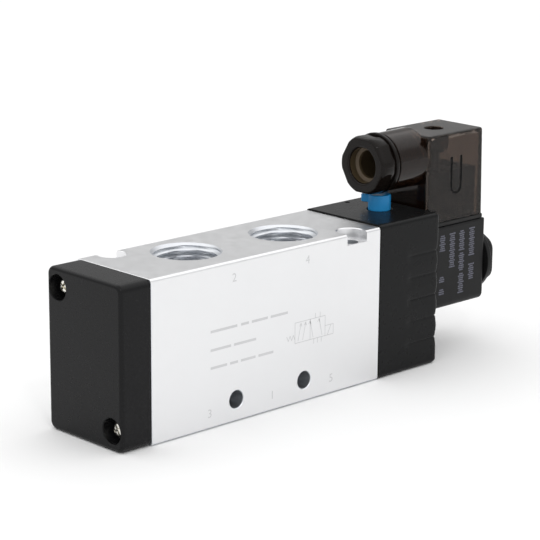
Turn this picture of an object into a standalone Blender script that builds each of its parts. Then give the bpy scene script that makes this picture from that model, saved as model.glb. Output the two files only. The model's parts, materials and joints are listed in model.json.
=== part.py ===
"""Solenoid directional valve: 5/2-way spool valve, single solenoid, spring return, G1/2 ports.

Lengths are in metres. Every piece is laid out along X from the left end face of the valve body
(x = 0), with z = 0 at the body's underside and y = 0 on its middle plane. The empty ROW_FRAME
carries all the pieces and puts the middle of the whole length over the origin.
"""

import math

import bmesh
import bpy

# Overall layout along X, from the left end face of the valve body.
CAP_END = -0.0113
BODY_END = 0.0947
PILOT_START = 0.0950
PILOT_END = 0.1228
COIL_START = 0.1231
COIL_END = 0.1525
NUT_END = 0.1580
ROW_SHIFT = -(CAP_END + NUT_END) / 2

# Gaps between neighbouring pieces, and how far a cutting shape runs past the face it opens.
SEAM = 0.0003
RUNNING_GAP = 0.00015
OVERRUN = 0.0010

# Section shared by the end cap, the valve body and the pilot body, which is a little taller.
WIDTH = 0.0335
HEIGHT = 0.0500
PILOT_TOP = 0.0505
BODY_CORNER = 0.0010
CAP_CORNER = 0.0025
PILOT_CORNER = 0.0015
END_ROUND = 0.0012
LEAST_CORNER = 0.0004

# Spool bore, with one undercut for each port.
BORE_Z = 0.0250
BORE_RADIUS = 0.0080
UNDERCUT_RADIUS = 0.0100
UNDERCUT_WIDTH = 0.0062
UNDERCUTS = (0.0190, 0.03325, 0.0475, 0.06175, 0.0760)

# Ports: G1/2 parallel pipe thread, shown at its minor diameter.
PORT_RADIUS = 0.0093
PORT_MOUTH = 0.0109
PORT_CHAMFER = 0.0014
TOP_PORTS = ((0.0294, 0.0014, 0.03325), (0.0670, -0.0014, 0.06175))
TOP_PORT_DEPTH = 0.0140
BOTTOM_PORTS = (0.0190, 0.0475, 0.0760)
BOTTOM_PORT_DEPTH = 0.0120
SLOT_HALF = 0.0040
SLOT_REACH = 0.0060

# Mounting holes for M5 screws: two across the body, two down through its U-shaped notches.
CROSS_HOLES = (0.03325, 0.06165)
CROSS_HOLE_Z = 0.0070
CROSS_HOLE_RADIUS = 0.0028
NOTCHES = ((0.0108, 0.0136), (0.0842, -0.0136))
NOTCH_RADIUS = 0.0043
NOTCH_DEPTH = 0.0035
NOTCH_HOLE_RADIUS = 0.00265

# M4 screws that hold the end cap and the pilot body, at (y, z).
END_SCREWS = (("upper", 0.0120, 0.0440), ("lower", -0.0120, 0.0060))
SCREW_RADIUS = 0.0020
SCREW_HOLE_RADIUS = 0.0023
SCREW_GRIP = 0.0052
HEAD_RADIUS = 0.0031
HEAD_HEIGHT = 0.0020
HEAD_POCKET_RADIUS = 0.0040
CAP_POCKET_DEPTH = 0.0046
PILOT_POCKET_DEPTH = 0.0030

# Face seals of the end cap and the pilot body, with their grooves, as (inner, outer) radii.
FACE_GROOVE_DEPTH = 0.0015
FACE_SEAL_HEIGHT = 0.0012
CAP_SEAL_GROOVE = (0.0096, 0.0114)
CAP_SEAL = (0.0099, 0.0111)
PILOT_SEAL_GROOVE = (0.0131, 0.0149)
PILOT_SEAL = (0.0134, 0.0146)

# Spool: lobes as (start, end), and the middle of each O-ring.
SPOOL_LOBES = ((0.0080, 0.0135), (0.0220, 0.0262), (0.0450, 0.0550), (0.0734, 0.0776), (0.0875, 0.0940))
SPOOL_SEALS = (0.0110, 0.0241, 0.0470, 0.0529, 0.0755, 0.0900)
SPOOL_RADIUS = 0.0076
SPOOL_NECK = 0.0045
SEAL_GROOVE_RADIUS = 0.0062
SEAL_GROOVE_WIDTH = 0.0022
SEAL_WIDTH = 0.0018
SPRING_POCKET_RADIUS = 0.0054
SPRING_POCKET_END = 0.0125
CAP_SPRING_FLOOR = -0.0088
SPOOL_BORE_STEPS = 20

# Coil springs, as (coil radius, wire radius, turns).
RETURN_SPRING = (0.0044, 0.0005, 5)
PLUNGER_SPRING = (0.0016, 0.0003, 5)
OVERRIDE_SPRING = (0.0022, 0.0003, 3)

# Pilot piston, which pushes the spool towards the end cap.
PISTON_BORE_RADIUS = 0.0120
PISTON_BORE_END = 0.1080
PISTON_START = 0.1023
PISTON_END = 0.1073
PISTON_STEM = 0.0060
PISTON_SEAL_X = 0.1048
PISTON_SEAL_WIDTH = 0.0021
PISTON_GROOVE_WIDTH = 0.0026
PISTON_GROOVE_RADIUS = 0.0099

# Small drillings in the pilot body.
PILOT_PASSAGE_RADIUS = 0.0008
VENT_PLACE = (0.1108, 0.0136, 0.0)
VENT_RADIUS = 0.0008
VENT_DEPTH = 0.0012

# Solenoid: armature tube, plunger, coil and nut share one axis.
COIL_Z = 0.0276
COIL_HALF_WIDTH = 0.0105
COIL_BOTTOM = 0.0150
COIL_TOP = 0.0431
COIL_CORNER = 0.0012
COIL_EDGE = 0.0008
COIL_BORE = 0.0050
WINDING_RADIUS = 0.0093
WINDING_SPAN = (0.1265, 0.1485)
SOCKET_RADIUS = 0.0065
SOCKET_FLOOR = 0.1135
TUBE_BASE = 0.1143
TUBE_END = 0.1575
TUBE_RADIUS = 0.0046
TUBE_BORE = 0.0039
TUBE_FLANGE = 0.0062
TUBE_GROOVE = (0.1170, 0.1188)
TUBE_GROOVE_RADIUS = 0.0052
TUBE_SEAL_WIDTH = 0.0014
CORE_START = 0.1380
CORE_END = 0.1500

# Plunger with its rubber seat, and the brass seat that it closes.
PLUNGER_START = 0.1162
PLUNGER_END = 0.1365
PLUNGER_RADIUS = 0.0036
PLUNGER_SEAT_FLOOR = 0.1183
PLUNGER_SEAT_RADIUS = 0.0018
PLUNGER_SEAT_LIP = 0.0003
PLUNGER_SPRING_FLOOR = 0.1285
PLUNGER_SPRING_POCKET = 0.0023
SEAT_ORIFICE = 0.0005
SEAT_NOSE = 0.0010
SEAT_SHOULDER = 0.0016
SEAT_RADIUS = 0.0030
SEAT_THICKNESS = 0.0009
SEAT_HEIGHT = 0.0018

# Coil nut: thin flange, and a hexagon as (half width across flats, reach of its corners).
NUT_START = 0.1530
NUT_FLANGE_END = 0.1550
NUT_FLANGE_RADIUS = 0.0118
NUT_HEXAGON = (0.0095, 0.0108)
NUT_HEXAGON_END = (0.0090, 0.0103)
NUT_EDGE = 0.0010
NUT_RECESS_RADIUS = 0.0072
NUT_RECESS_DEPTH = 0.0012
NUT_SEAL = (0.0051, 0.0069)
NUT_SEAL_END = 0.1539

# Manual override in the top of the pilot body.
OVERRIDE_X = 0.1117
OVERRIDE_TOP = 0.0555
OVERRIDE_HEAD_RADIUS = 0.0037
OVERRIDE_HEAD_BASE = 0.0503
OVERRIDE_EDGE = 0.0004
OVERRIDE_BORE = 0.0035
OVERRIDE_POCKET = 0.0041
OVERRIDE_POCKET_FLOOR = 0.0485
OVERRIDE_FLOOR = 0.0362
OVERRIDE_GROOVE = (0.0440, 0.0460)
OVERRIDE_GROOVE_RADIUS = 0.0022
OVERRIDE_SEAL_WIDTH = 0.0016
OVERRIDE_SHANK_END = 0.0400
OVERRIDE_PIN_END = 0.0330
OVERRIDE_PIN_HOLE = 0.0013
DRIVER_SLOT_LENGTH = 0.0060
DRIVER_SLOT_WIDTH = 0.0008
DRIVER_SLOT_DEPTH = 0.0008

# Finger lever of the override, which points left and back.
LEVER_REACH = 0.0060
LEVER_HALF_WIDTH = 0.0016
LEVER_CORNER = 0.0009
LEVER_BASE = 0.0527
LEVER_TOP = 0.0553
LEVER_TURN = math.radians(-65)

# Blade terminals, as (label, x, y); the earth blade stands across the others.
TERMINALS = (("1", 0.1310, 0.0050), ("2", 0.1310, -0.0050), ("earth", 0.1450, 0.0))
BLADE_HALF_WIDTH = 0.0031
BLADE_HALF_THICKNESS = 0.0004
BLADE_ROOT = 0.0395
BLADE_TOP = 0.0510

# Plug connector, form B.
PLUG_START = 0.1233
PLUG_END = 0.1513
PLUG_HALF_WIDTH = 0.0100
PLUG_BOTTOM = 0.0447
PLUG_TOP = 0.0739
PLUG_WALL = 0.0018
PLUG_CORNER = 0.0012
PLUG_DRAFT = 0.0007
GASKET_GAP = 0.0002
GASKET_LIP = 0.0004
GASKET_RIM = 0.0024

# Fixing screw of the plug, its column in the housing and its thread in the coil.
PLUG_SCREW_X = 0.1371
PLUG_SCREW_SEAT = 0.0706
PLUG_SCREW_TOP = 0.0726
PLUG_SCREW_TIP = 0.0401
PLUG_SCREW_RADIUS = 0.0015
PLUG_SCREW_HEAD = 0.0029
PLUG_SCREW_WAY = 0.0019
PLUG_HEAD_WAY = 0.0032
PLUG_HEAD_FLOOR = 0.0703
PLUG_THREAD_RADIUS = 0.0018
PLUG_THREAD_DEPTH = 0.0035
COLUMN_RADIUS = 0.0044
COLUMN_BOTTOM = 0.0675
SCREW_RING_SPAN = (0.0662, 0.0672)
SCREW_RING = (0.0018, 0.0030)

# Terminal block inside the plug.
BLOCK_SPAN = (0.1260, 0.1484)
BLOCK_HALF_WIDTH = 0.0080
BLOCK_BOTTOM = 0.0450
BLOCK_TOP = 0.0610
BLADE_WAY_TOP = 0.0514
CLAMP_HOLE_RADIUS = 0.0019
CLAMP_HOLE_FLOOR = 0.0530
CLAMP_SCREW_SEAT = 0.0590
CLAMP_SCREW_TOP = 0.0602
CLAMP_SCREW_TIP = 0.0533
CLAMP_SCREW_RADIUS = 0.0012
CLAMP_SCREW_HEAD = 0.0016

# Cable gland: boss of the housing, nut with hexagon and flange, washer and rubber.
GLAND_Z = 0.0659
GLAND_BOSS_RADIUS = 0.0097
GLAND_BOSS_START = 0.1115
GLAND_THREAD = 0.0076
GLAND_THREAD_END = 0.1225
CABLE_WAY = 0.0060
GLAND_START = 0.1029
GLAND_EDGE = 0.0006
GLAND_HEXAGON = (0.0091, 0.0099)
GLAND_HEXAGON_END = (0.0086, 0.0094)
GLAND_NECK = 0.0070
GLAND_FLANGE_START = 0.1092
GLAND_FLANGE_RADIUS = 0.0099
GLAND_SPIGOT_END = 0.1173
GLAND_MOUTH = 0.0057
WASHER_END = 0.1184
WASHER_HOLE = 0.0048
GLAND_RUBBER_SPAN = (0.1187, 0.1221)
GLAND_RUBBER_HOLE = 0.0035

AXES = {"X": (1, 2, 0), "Y": (0, 2, 1), "Z": (0, 1, 2)}


def clear_scene():
    for obj in list(bpy.data.objects):
        bpy.data.objects.remove(obj)


def row_frame():
    empty = bpy.data.objects.new("ROW_FRAME", None)
    empty.location.x = ROW_SHIFT
    bpy.context.scene.collection.objects.link(empty)
    return empty


def finish(obj, colour, roughness, metallic=0.0):
    """Give a piece its own Principled material."""
    material = bpy.data.materials.new(obj.name + "_finish")
    material.use_nodes = True
    shader = material.node_tree.nodes["Principled BSDF"]
    shader.inputs["Base Color"].default_value = (*colour, 1.0)
    shader.inputs["Roughness"].default_value = roughness
    shader.inputs["Metallic"].default_value = metallic
    obj.data.materials.append(material)
    return obj


def aluminium(obj):
    return finish(obj, (0.80, 0.81, 0.83), 0.35, 1.0)


def steel(obj):
    return finish(obj, (0.62, 0.62, 0.63), 0.25, 1.0)


def brass(obj):
    return finish(obj, (0.78, 0.60, 0.28), 0.30, 1.0)


def copper(obj):
    return finish(obj, (0.72, 0.36, 0.20), 0.35, 1.0)


def black_plastic(obj):
    return finish(obj, (0.022, 0.022, 0.024), 0.45)


def smoke_plastic(obj):
    return finish(obj, (0.060, 0.045, 0.038), 0.20)


def white_plastic(obj):
    return finish(obj, (0.75, 0.75, 0.72), 0.40)


def blue_plastic(obj):
    return finish(obj, (0.02, 0.18, 0.42), 0.35)


def rubber(obj):
    return finish(obj, (0.015, 0.015, 0.015), 0.80)


def mesh_object(name, bm, place):
    """Turn a bmesh into an object at place, shaded smooth between sharp edges."""
    bmesh.ops.recalc_face_normals(bm, faces=bm.faces)
    mesh = bpy.data.meshes.new(name)
    bm.to_mesh(mesh)
    bm.free()
    mesh.shade_smooth()
    mesh.set_sharp_from_angle(angle=math.radians(35))
    obj = bpy.data.objects.new(name, mesh)
    obj.location = place
    obj.parent = FRAME
    bpy.context.scene.collection.objects.link(obj)
    return obj


def oriented(u, v, along, axis):
    """Point with coordinates u, v across an axis and along it."""
    point = [0.0, 0.0, 0.0]
    first, second, third = AXES[axis]
    point[first] = u
    point[second] = v
    point[third] = along
    return point


def turned(name, profile, place, axis, steps=20):
    """Revolve a loop of (along, radius) points; radius 0 marks a point on the axis."""
    bm = bmesh.new()
    rings = []
    for along, radius in profile:
        count = steps if radius > 0.0 else 1
        ring = []
        for i in range(count):
            angle = 2 * math.pi * i / steps
            point = oriented(radius * math.cos(angle), radius * math.sin(angle), along, axis)
            ring.append(bm.verts.new(point))
        rings.append(ring)
    for first, second in zip(rings, rings[1:] + rings[:1]):
        if len(first) == 1 and len(second) == 1:
            continue
        for i in range(steps):
            j = (i + 1) % steps
            corners = (
                first[i % len(first)],
                first[j % len(first)],
                second[j % len(second)],
                second[i % len(second)],
            )
            bm.faces.new(dict.fromkeys(corners))
    return mesh_object(name, bm, place)


def lofted(name, sections, axis, place=(0.0, 0.0, 0.0)):
    """Skin a solid through (along, outline) sections with equal point counts."""
    bm = bmesh.new()
    loops = []
    for along, outline in sections:
        loops.append([bm.verts.new(oriented(u, v, along, axis)) for u, v in outline])
    for first, second in zip(loops, loops[1:]):
        for i, corner in enumerate(first):
            j = (i + 1) % len(first)
            bm.faces.new((corner, first[j], second[j], second[i]))
    bm.faces.new(loops[0])
    bm.faces.new(loops[-1])
    return mesh_object(name, bm, place)


def rounded_outline(low_u, high_u, low_v, high_v, radius, arc_steps=3):
    """Rectangle with round corners, as points in order."""
    points = []
    corners = (
        (high_u - radius, high_v - radius, 0.0),
        (low_u + radius, high_v - radius, 0.5),
        (low_u + radius, low_v + radius, 1.0),
        (high_u - radius, low_v + radius, 1.5),
    )
    for u, v, start in corners:
        for i in range(arc_steps + 1):
            angle = math.pi * (start + 0.5 * i / arc_steps)
            points.append((u + radius * math.cos(angle), v + radius * math.sin(angle)))
    return points


def hexagon_outline(half_flats, reach):
    """Hexagon whose six corners are cut off where they pass the reach."""
    half_side = math.radians(30) - math.acos(half_flats / reach)
    points = []
    for i in range(6):
        corner = math.radians(60) * i
        for angle in (corner - half_side, corner + half_side):
            points.append((reach * math.cos(angle), reach * math.sin(angle)))
    return points


def rounded_end(start, end, edge, outline_at, arc_steps=3):
    """Sections from start to end whose last edge is rounded off; outline_at(inset) gives an outline."""
    towards = math.copysign(1.0, end - start)
    sections = [(start, outline_at(0.0))]
    for i in range(arc_steps + 1):
        angle = 0.5 * math.pi * i / arc_steps
        along = end - towards * edge * (1 - math.sin(angle))
        sections.append((along, outline_at(edge * (1 - math.cos(angle)))))
    return sections


def block(name, low, high, axis="Z"):
    """Plain box between two corners."""
    first, second, third = AXES[axis]
    outline = (
        (low[first], low[second]),
        (high[first], low[second]),
        (high[first], high[second]),
        (low[first], high[second]),
    )
    return lofted(name, ((low[third], outline), (high[third], outline)), axis)


def rod(name, start, end, radius, place, axis, steps=20):
    """Plain cylinder from start to end along its axis."""
    profile = ((start, 0.0), (start, radius), (end, radius), (end, 0.0))
    return turned(name, profile, place, axis, steps)


def combine(target, tool, operation):
    """Boolean on target; the tool becomes a hidden helper."""
    tool.hide_render = True
    tool.display_type = "WIRE"
    modifier = target.modifiers.new(tool.name, "BOOLEAN")
    modifier.operation = operation
    modifier.solver = "EXACT"
    modifier.object = tool


def cut(target, *tools):
    for tool in tools:
        combine(target, tool, "DIFFERENCE")


def add(target, *tools):
    for tool in tools:
        combine(target, tool, "UNION")


def coil_spring(name, place, axis, start, end, spring, turn_steps=12):
    """Helical spring from its (coil radius, wire radius, turns); the wire has a five-sided section."""
    radius, wire, turns = spring
    wire_sides = 5
    count = turns * turn_steps + 1
    bm = bmesh.new()
    loops = []
    for i in range(count):
        angle = 2 * math.pi * i / turn_steps
        along = start + wire + (end - start - 2 * wire) * i / (count - 1)
        loop = []
        for k in range(wire_sides):
            around = 2 * math.pi * k / wire_sides
            reach = radius + wire * math.cos(around)
            height = along + wire * math.sin(around)
            point = oriented(reach * math.cos(angle), reach * math.sin(angle), height, axis)
            loop.append(bm.verts.new(point))
        loops.append(loop)
    for first, second in zip(loops, loops[1:]):
        for k, corner in enumerate(first):
            j = (k + 1) % wire_sides
            bm.faces.new((corner, first[j], second[j], second[k]))
    bm.faces.new(loops[0])
    bm.faces.new(loops[-1])
    return mesh_object(name, bm, place)


def sealing_ring(name, middle, inner, outer, width, place, axis):
    """Rubber ring with a crowned outer face."""
    half = width / 2
    shoulder = outer - width / 4
    profile = (
        (middle - half, inner),
        (middle + half, inner),
        (middle + half, shoulder),
        (middle, outer),
        (middle - half, shoulder),
    )
    return rubber(turned(name, profile, place, axis, SPOOL_BORE_STEPS))


def flat_ring(name, start, end, radii, place, axis, steps=20):
    """Flat ring between two places along its axis, with (inner, outer) radii."""
    inner, outer = radii
    profile = ((start, inner), (end, inner), (end, outer), (start, outer))
    return turned(name, profile, place, axis, steps)


def body_outline(corner, top=HEIGHT):
    """Outline of the shared section, drawn in by a given inset."""

    def outline(inset):
        half = WIDTH / 2 - inset
        return rounded_outline(-half, half, inset, top - inset, max(corner - inset, LEAST_CORNER))

    return outline


def spool_bore_cutter():
    points = [(-OVERRUN, 0.0), (-OVERRUN, BORE_RADIUS)]
    for middle in UNDERCUTS:
        start = middle - UNDERCUT_WIDTH / 2
        end = middle + UNDERCUT_WIDTH / 2
        points += [(start, BORE_RADIUS), (start, UNDERCUT_RADIUS), (end, UNDERCUT_RADIUS), (end, BORE_RADIUS)]
    points += [(BODY_END + OVERRUN, BORE_RADIUS), (BODY_END + OVERRUN, 0.0)]
    return turned("cut_spool_bore", points, (0.0, 0.0, BORE_Z), "X", SPOOL_BORE_STEPS)


def port_cutter(name, place, face, depth):
    """Threaded port with its mouth chamfer; face is +1 on the top side and -1 on the underside."""
    profile = (
        (OVERRUN * face, 0.0),
        (OVERRUN * face, PORT_MOUTH),
        (0.0, PORT_MOUTH),
        (-PORT_CHAMFER * face, PORT_RADIUS),
        (-depth * face, PORT_RADIUS),
        (-depth * face, 0.0),
    )
    return turned(name, profile, place, "Z", 24)


def port_cutters():
    """The five ports, each with the slot that joins it to its undercut."""
    cutters = []
    half = UNDERCUT_WIDTH / 2
    for number, (x, y, undercut) in zip(("2", "4"), TOP_PORTS):
        cutters.append(port_cutter("cut_port_" + number, (x, y, HEIGHT), 1, TOP_PORT_DEPTH))
        low = (undercut - half, -SLOT_HALF, BORE_Z + SLOT_REACH)
        high = (undercut + half, SLOT_HALF, HEIGHT - TOP_PORT_DEPTH + OVERRUN)
        cutters.append(block("cut_port_slot_" + number, low, high))
    for number, x in zip(("3", "1", "5"), BOTTOM_PORTS):
        cutters.append(port_cutter("cut_port_" + number, (x, 0.0, 0.0), -1, BOTTOM_PORT_DEPTH))
        low = (x - half, -SLOT_HALF, BOTTOM_PORT_DEPTH - OVERRUN)
        high = (x + half, SLOT_HALF, BORE_Z - SLOT_REACH)
        cutters.append(block("cut_port_slot_" + number, low, high))
    return cutters


def mounting_hole_cutters():
    cutters = []
    reach = WIDTH / 2 + OVERRUN
    for i, x in enumerate(CROSS_HOLES):
        place = (x, 0.0, CROSS_HOLE_Z)
        cutters.append(rod(f"cut_cross_hole_{i}", -reach, reach, CROSS_HOLE_RADIUS, place, "Y", 12))
    for i, (x, y) in enumerate(NOTCHES):
        profile = (
            (-OVERRUN, 0.0),
            (-OVERRUN, NOTCH_HOLE_RADIUS),
            (HEIGHT - NOTCH_DEPTH, NOTCH_HOLE_RADIUS),
            (HEIGHT - NOTCH_DEPTH, NOTCH_RADIUS),
            (HEIGHT + OVERRUN, NOTCH_RADIUS),
            (HEIGHT + OVERRUN, 0.0),
        )
        cutters.append(turned(f"cut_notch_{i}", profile, (x, y, 0.0), "Z", 16))
        side = sorted((y, math.copysign(reach, y)))
        low = (x - NOTCH_RADIUS, side[0], HEIGHT - NOTCH_DEPTH)
        high = (x + NOTCH_RADIUS, side[1], HEIGHT + OVERRUN)
        cutters.append(block(f"cut_notch_mouth_{i}", low, high))
    return cutters


def tapped_hole_cutters():
    """Screw holes in both end faces of the valve body."""
    cutters = []
    depth = SCREW_GRIP + SEAM
    spans = (("cap", -OVERRUN, depth), ("pilot", BODY_END - depth, BODY_END + OVERRUN))
    for label, y, z in END_SCREWS:
        for side, start, end in spans:
            name = f"cut_{side}_thread_{label}"
            cutters.append(rod(name, start, end, SCREW_HOLE_RADIUS, (0.0, y, z), "X", 8))
    return cutters


def make_valve_body():
    outline = body_outline(BODY_CORNER)
    body = lofted("valve_body", ((0.0, outline(0.0)), (BODY_END, outline(0.0))), "X")
    cut(body, spool_bore_cutter(), *port_cutters(), *mounting_hole_cutters(), *tapped_hole_cutters())
    aluminium(body)


def make_end_cap():
    outline = body_outline(CAP_CORNER)
    cap = lofted("end_cap", rounded_end(-SEAM, CAP_END, END_ROUND, outline), "X")
    axis = (0.0, 0.0, BORE_Z)
    cut(cap, rod("cut_spring_pocket", CAP_SPRING_FLOOR, OVERRUN, SPRING_POCKET_RADIUS, axis, "X"))
    groove_floor = -SEAM - FACE_GROOVE_DEPTH
    cut(cap, flat_ring("cut_cap_seal_groove", groove_floor, OVERRUN, CAP_SEAL_GROOVE, axis, "X"))
    pocket = CAP_END + CAP_POCKET_DEPTH
    profile = (
        (CAP_END - OVERRUN, 0.0),
        (CAP_END - OVERRUN, HEAD_POCKET_RADIUS),
        (pocket, HEAD_POCKET_RADIUS),
        (pocket, SCREW_HOLE_RADIUS),
        (OVERRUN, SCREW_HOLE_RADIUS),
        (OVERRUN, 0.0),
    )
    for label, y, z in END_SCREWS:
        cut(cap, turned("cut_cap_screw_" + label, profile, (0.0, y, z), "X", 12))
    black_plastic(cap)
    rubber(flat_ring("end_cap_seal", -SEAM - FACE_SEAL_HEIGHT, -SEAM, CAP_SEAL, axis, "X"))


def cross_cutter(name, place, axis, head, start, end):
    """Plus-shaped driver recess, in proportion to the head's radius."""
    reach = 0.55 * head
    half = 0.14 * head
    outline = (
        (half, half), (half, reach), (-half, reach), (-half, half),
        (-reach, half), (-reach, -half), (-half, -half), (-half, -reach),
        (half, -reach), (half, -half), (reach, -half), (reach, half),
    )
    return lofted(name, ((start, outline), (end, outline)), axis, place)


def pan_screw(name, place, axis, seat, top, tip, shank, head):
    """Pan-head screw with a cross recess; its head bears on the seat."""
    crown = seat + 0.6 * (top - seat)
    profile = (
        (tip, 0.0),
        (tip, shank),
        (seat, shank),
        (seat, head),
        (crown, head),
        (top, 0.65 * head),
        (top, 0.0),
    )
    screw = turned(name, profile, place, axis, 12)
    beyond = top + 0.2 * (top - seat)
    cut(screw, cross_cutter("cut_recess_" + name, place, axis, head, crown, beyond))
    return steel(screw)


def make_end_screws():
    cap_seat = CAP_END + CAP_POCKET_DEPTH - SEAM
    cap_top = cap_seat - HEAD_HEIGHT
    pilot_seat = PILOT_END - PILOT_POCKET_DEPTH + SEAM
    pilot_top = pilot_seat + HEAD_HEIGHT
    pilot_tip = BODY_END - SCREW_GRIP
    for label, y, z in END_SCREWS:
        place = (0.0, y, z)
        name = "end_cap_screw_" + label
        pan_screw(name, place, "X", cap_seat, cap_top, SCREW_GRIP, SCREW_RADIUS, HEAD_RADIUS)
        name = "pilot_screw_" + label
        pan_screw(name, place, "X", pilot_seat, pilot_top, pilot_tip, SCREW_RADIUS, HEAD_RADIUS)


def spool_profile():
    """Spool outline from the spring pocket round its lobes and necks to the piston end."""
    start = SPOOL_LOBES[0][0]
    end = SPOOL_LOBES[-1][1]
    points = [(SPRING_POCKET_END, 0.0), (SPRING_POCKET_END, SPRING_POCKET_RADIUS)]
    points.append((start, SPRING_POCKET_RADIUS))
    for lobe_start, lobe_end in SPOOL_LOBES:
        if lobe_start > start:
            points.append((lobe_start, SPOOL_NECK))
        points.append((lobe_start, SPOOL_RADIUS))
        for middle in SPOOL_SEALS:
            if lobe_start < middle < lobe_end:
                groove_start = middle - SEAL_GROOVE_WIDTH / 2
                groove_end = middle + SEAL_GROOVE_WIDTH / 2
                points += [(groove_start, SPOOL_RADIUS), (groove_start, SEAL_GROOVE_RADIUS)]
                points += [(groove_end, SEAL_GROOVE_RADIUS), (groove_end, SPOOL_RADIUS)]
        points.append((lobe_end, SPOOL_RADIUS))
        if lobe_end < end:
            points.append((lobe_end, SPOOL_NECK))
    points.append((end, 0.0))
    return points


def make_spool():
    axis = (0.0, 0.0, BORE_Z)
    aluminium(turned("spool", spool_profile(), axis, "X", SPOOL_BORE_STEPS))
    inner = SEAL_GROOVE_RADIUS + RUNNING_GAP
    outer = BORE_RADIUS - RUNNING_GAP
    for i, middle in enumerate(SPOOL_SEALS, 1):
        sealing_ring(f"spool_seal_{i}", middle, inner, outer, SEAL_WIDTH, axis, "X")
    start = CAP_SPRING_FLOOR + SEAM
    steel(coil_spring("return_spring", axis, "X", start, SPRING_POCKET_END - SEAM, RETURN_SPRING))


def make_pilot_piston():
    axis = (0.0, 0.0, BORE_Z)
    radius = PISTON_BORE_RADIUS - SEAM
    groove_start = PISTON_SEAL_X - PISTON_GROOVE_WIDTH / 2
    groove_end = PISTON_SEAL_X + PISTON_GROOVE_WIDTH / 2
    spool_end = SPOOL_LOBES[-1][1] + SEAM
    profile = (
        (spool_end, 0.0),
        (spool_end, PISTON_STEM),
        (PISTON_START, PISTON_STEM),
        (PISTON_START, radius),
        (groove_start, radius),
        (groove_start, PISTON_GROOVE_RADIUS),
        (groove_end, PISTON_GROOVE_RADIUS),
        (groove_end, radius),
        (PISTON_END, radius),
        (PISTON_END, 0.0),
    )
    white_plastic(turned("pilot_piston", profile, axis, "X", SPOOL_BORE_STEPS))
    inner = PISTON_GROOVE_RADIUS + RUNNING_GAP
    outer = PISTON_BORE_RADIUS - RUNNING_GAP
    sealing_ring("pilot_piston_seal", PISTON_SEAL_X, inner, outer, PISTON_SEAL_WIDTH, axis, "X")


def override_cutters():
    """Stepped bore for the override, and the drilling that joins it to the pilot passage."""
    place = (OVERRIDE_X, 0.0, 0.0)
    steps = (
        (OVERRIDE_FLOOR, 0.0),
        (OVERRIDE_FLOOR, OVERRIDE_BORE),
        (OVERRIDE_POCKET_FLOOR, OVERRIDE_BORE),
        (OVERRIDE_POCKET_FLOOR, OVERRIDE_POCKET),
        (PILOT_TOP + OVERRUN, OVERRIDE_POCKET),
        (PILOT_TOP + OVERRUN, 0.0),
    )
    bore = turned("cut_override_bore", steps, place, "Z")
    pin_hole_end = OVERRIDE_FLOOR + OVERRUN
    pin_hole = rod("cut_override_pin_hole", COIL_Z, pin_hole_end, OVERRIDE_PIN_HOLE, place, "Z", 12)
    return bore, pin_hole


def pilot_screw_cutters():
    cutters = []
    seat = PILOT_END - PILOT_POCKET_DEPTH
    profile = (
        (PILOT_START - OVERRUN, 0.0),
        (PILOT_START - OVERRUN, SCREW_HOLE_RADIUS),
        (seat, SCREW_HOLE_RADIUS),
        (seat, HEAD_POCKET_RADIUS),
        (PILOT_END + OVERRUN, HEAD_POCKET_RADIUS),
        (PILOT_END + OVERRUN, 0.0),
    )
    for label, y, z in END_SCREWS:
        cutters.append(turned("cut_pilot_screw_" + label, profile, (0.0, y, z), "X", 12))
    return cutters


def pilot_bore_cutters():
    """Piston bore with its face groove, tube socket, and the passage between them."""
    bore_axis = (0.0, 0.0, BORE_Z)
    coil_axis = (0.0, 0.0, COIL_Z)
    start = PILOT_START - OVERRUN
    groove_floor = PILOT_START + FACE_GROOVE_DEPTH
    passage_start = PISTON_BORE_END - OVERRUN
    passage_end = SOCKET_FLOOR + OVERRUN
    return (
        rod("cut_piston_bore", start, PISTON_BORE_END, PISTON_BORE_RADIUS, bore_axis, "X"),
        flat_ring("cut_pilot_seal_groove", start, groove_floor, PILOT_SEAL_GROOVE, bore_axis, "X"),
        rod("cut_tube_socket", SOCKET_FLOOR, PILOT_END + OVERRUN, SOCKET_RADIUS, coil_axis, "X"),
        rod("cut_pilot_passage", passage_start, passage_end, PILOT_PASSAGE_RADIUS, coil_axis, "X", 8),
    )


def make_pilot_body():
    outline = body_outline(PILOT_CORNER, PILOT_TOP)
    pilot = lofted("pilot_body", rounded_end(PILOT_START, PILOT_END, END_ROUND, outline), "X")
    cut(pilot, *pilot_bore_cutters(), *override_cutters(), *pilot_screw_cutters())
    cut(pilot, rod("cut_vent", PILOT_TOP - VENT_DEPTH, PILOT_TOP + OVERRUN, VENT_RADIUS, VENT_PLACE, "Z", 12))
    black_plastic(pilot)
    seal_end = PILOT_START + FACE_SEAL_HEIGHT
    rubber(flat_ring("pilot_body_seal", PILOT_START, seal_end, PILOT_SEAL, (0.0, 0.0, BORE_Z), "X"))


def override_profile():
    """Override from its pin up past the sealed shank to the head."""
    shank = OVERRIDE_BORE - SEAM
    pin = OVERRIDE_PIN_HOLE - SEAM
    groove_start, groove_end = OVERRIDE_GROOVE
    return (
        (OVERRIDE_PIN_END, 0.0),
        (OVERRIDE_PIN_END, pin),
        (OVERRIDE_SHANK_END, pin),
        (OVERRIDE_SHANK_END, shank),
        (groove_start, shank),
        (groove_start, OVERRIDE_GROOVE_RADIUS),
        (groove_end, OVERRIDE_GROOVE_RADIUS),
        (groove_end, shank),
        (OVERRIDE_HEAD_BASE, shank),
        (OVERRIDE_HEAD_BASE, OVERRIDE_HEAD_RADIUS),
        (OVERRIDE_TOP - OVERRIDE_EDGE, OVERRIDE_HEAD_RADIUS),
        (OVERRIDE_TOP, OVERRIDE_HEAD_RADIUS - OVERRIDE_EDGE),
        (OVERRIDE_TOP, 0.0),
    )


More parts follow.
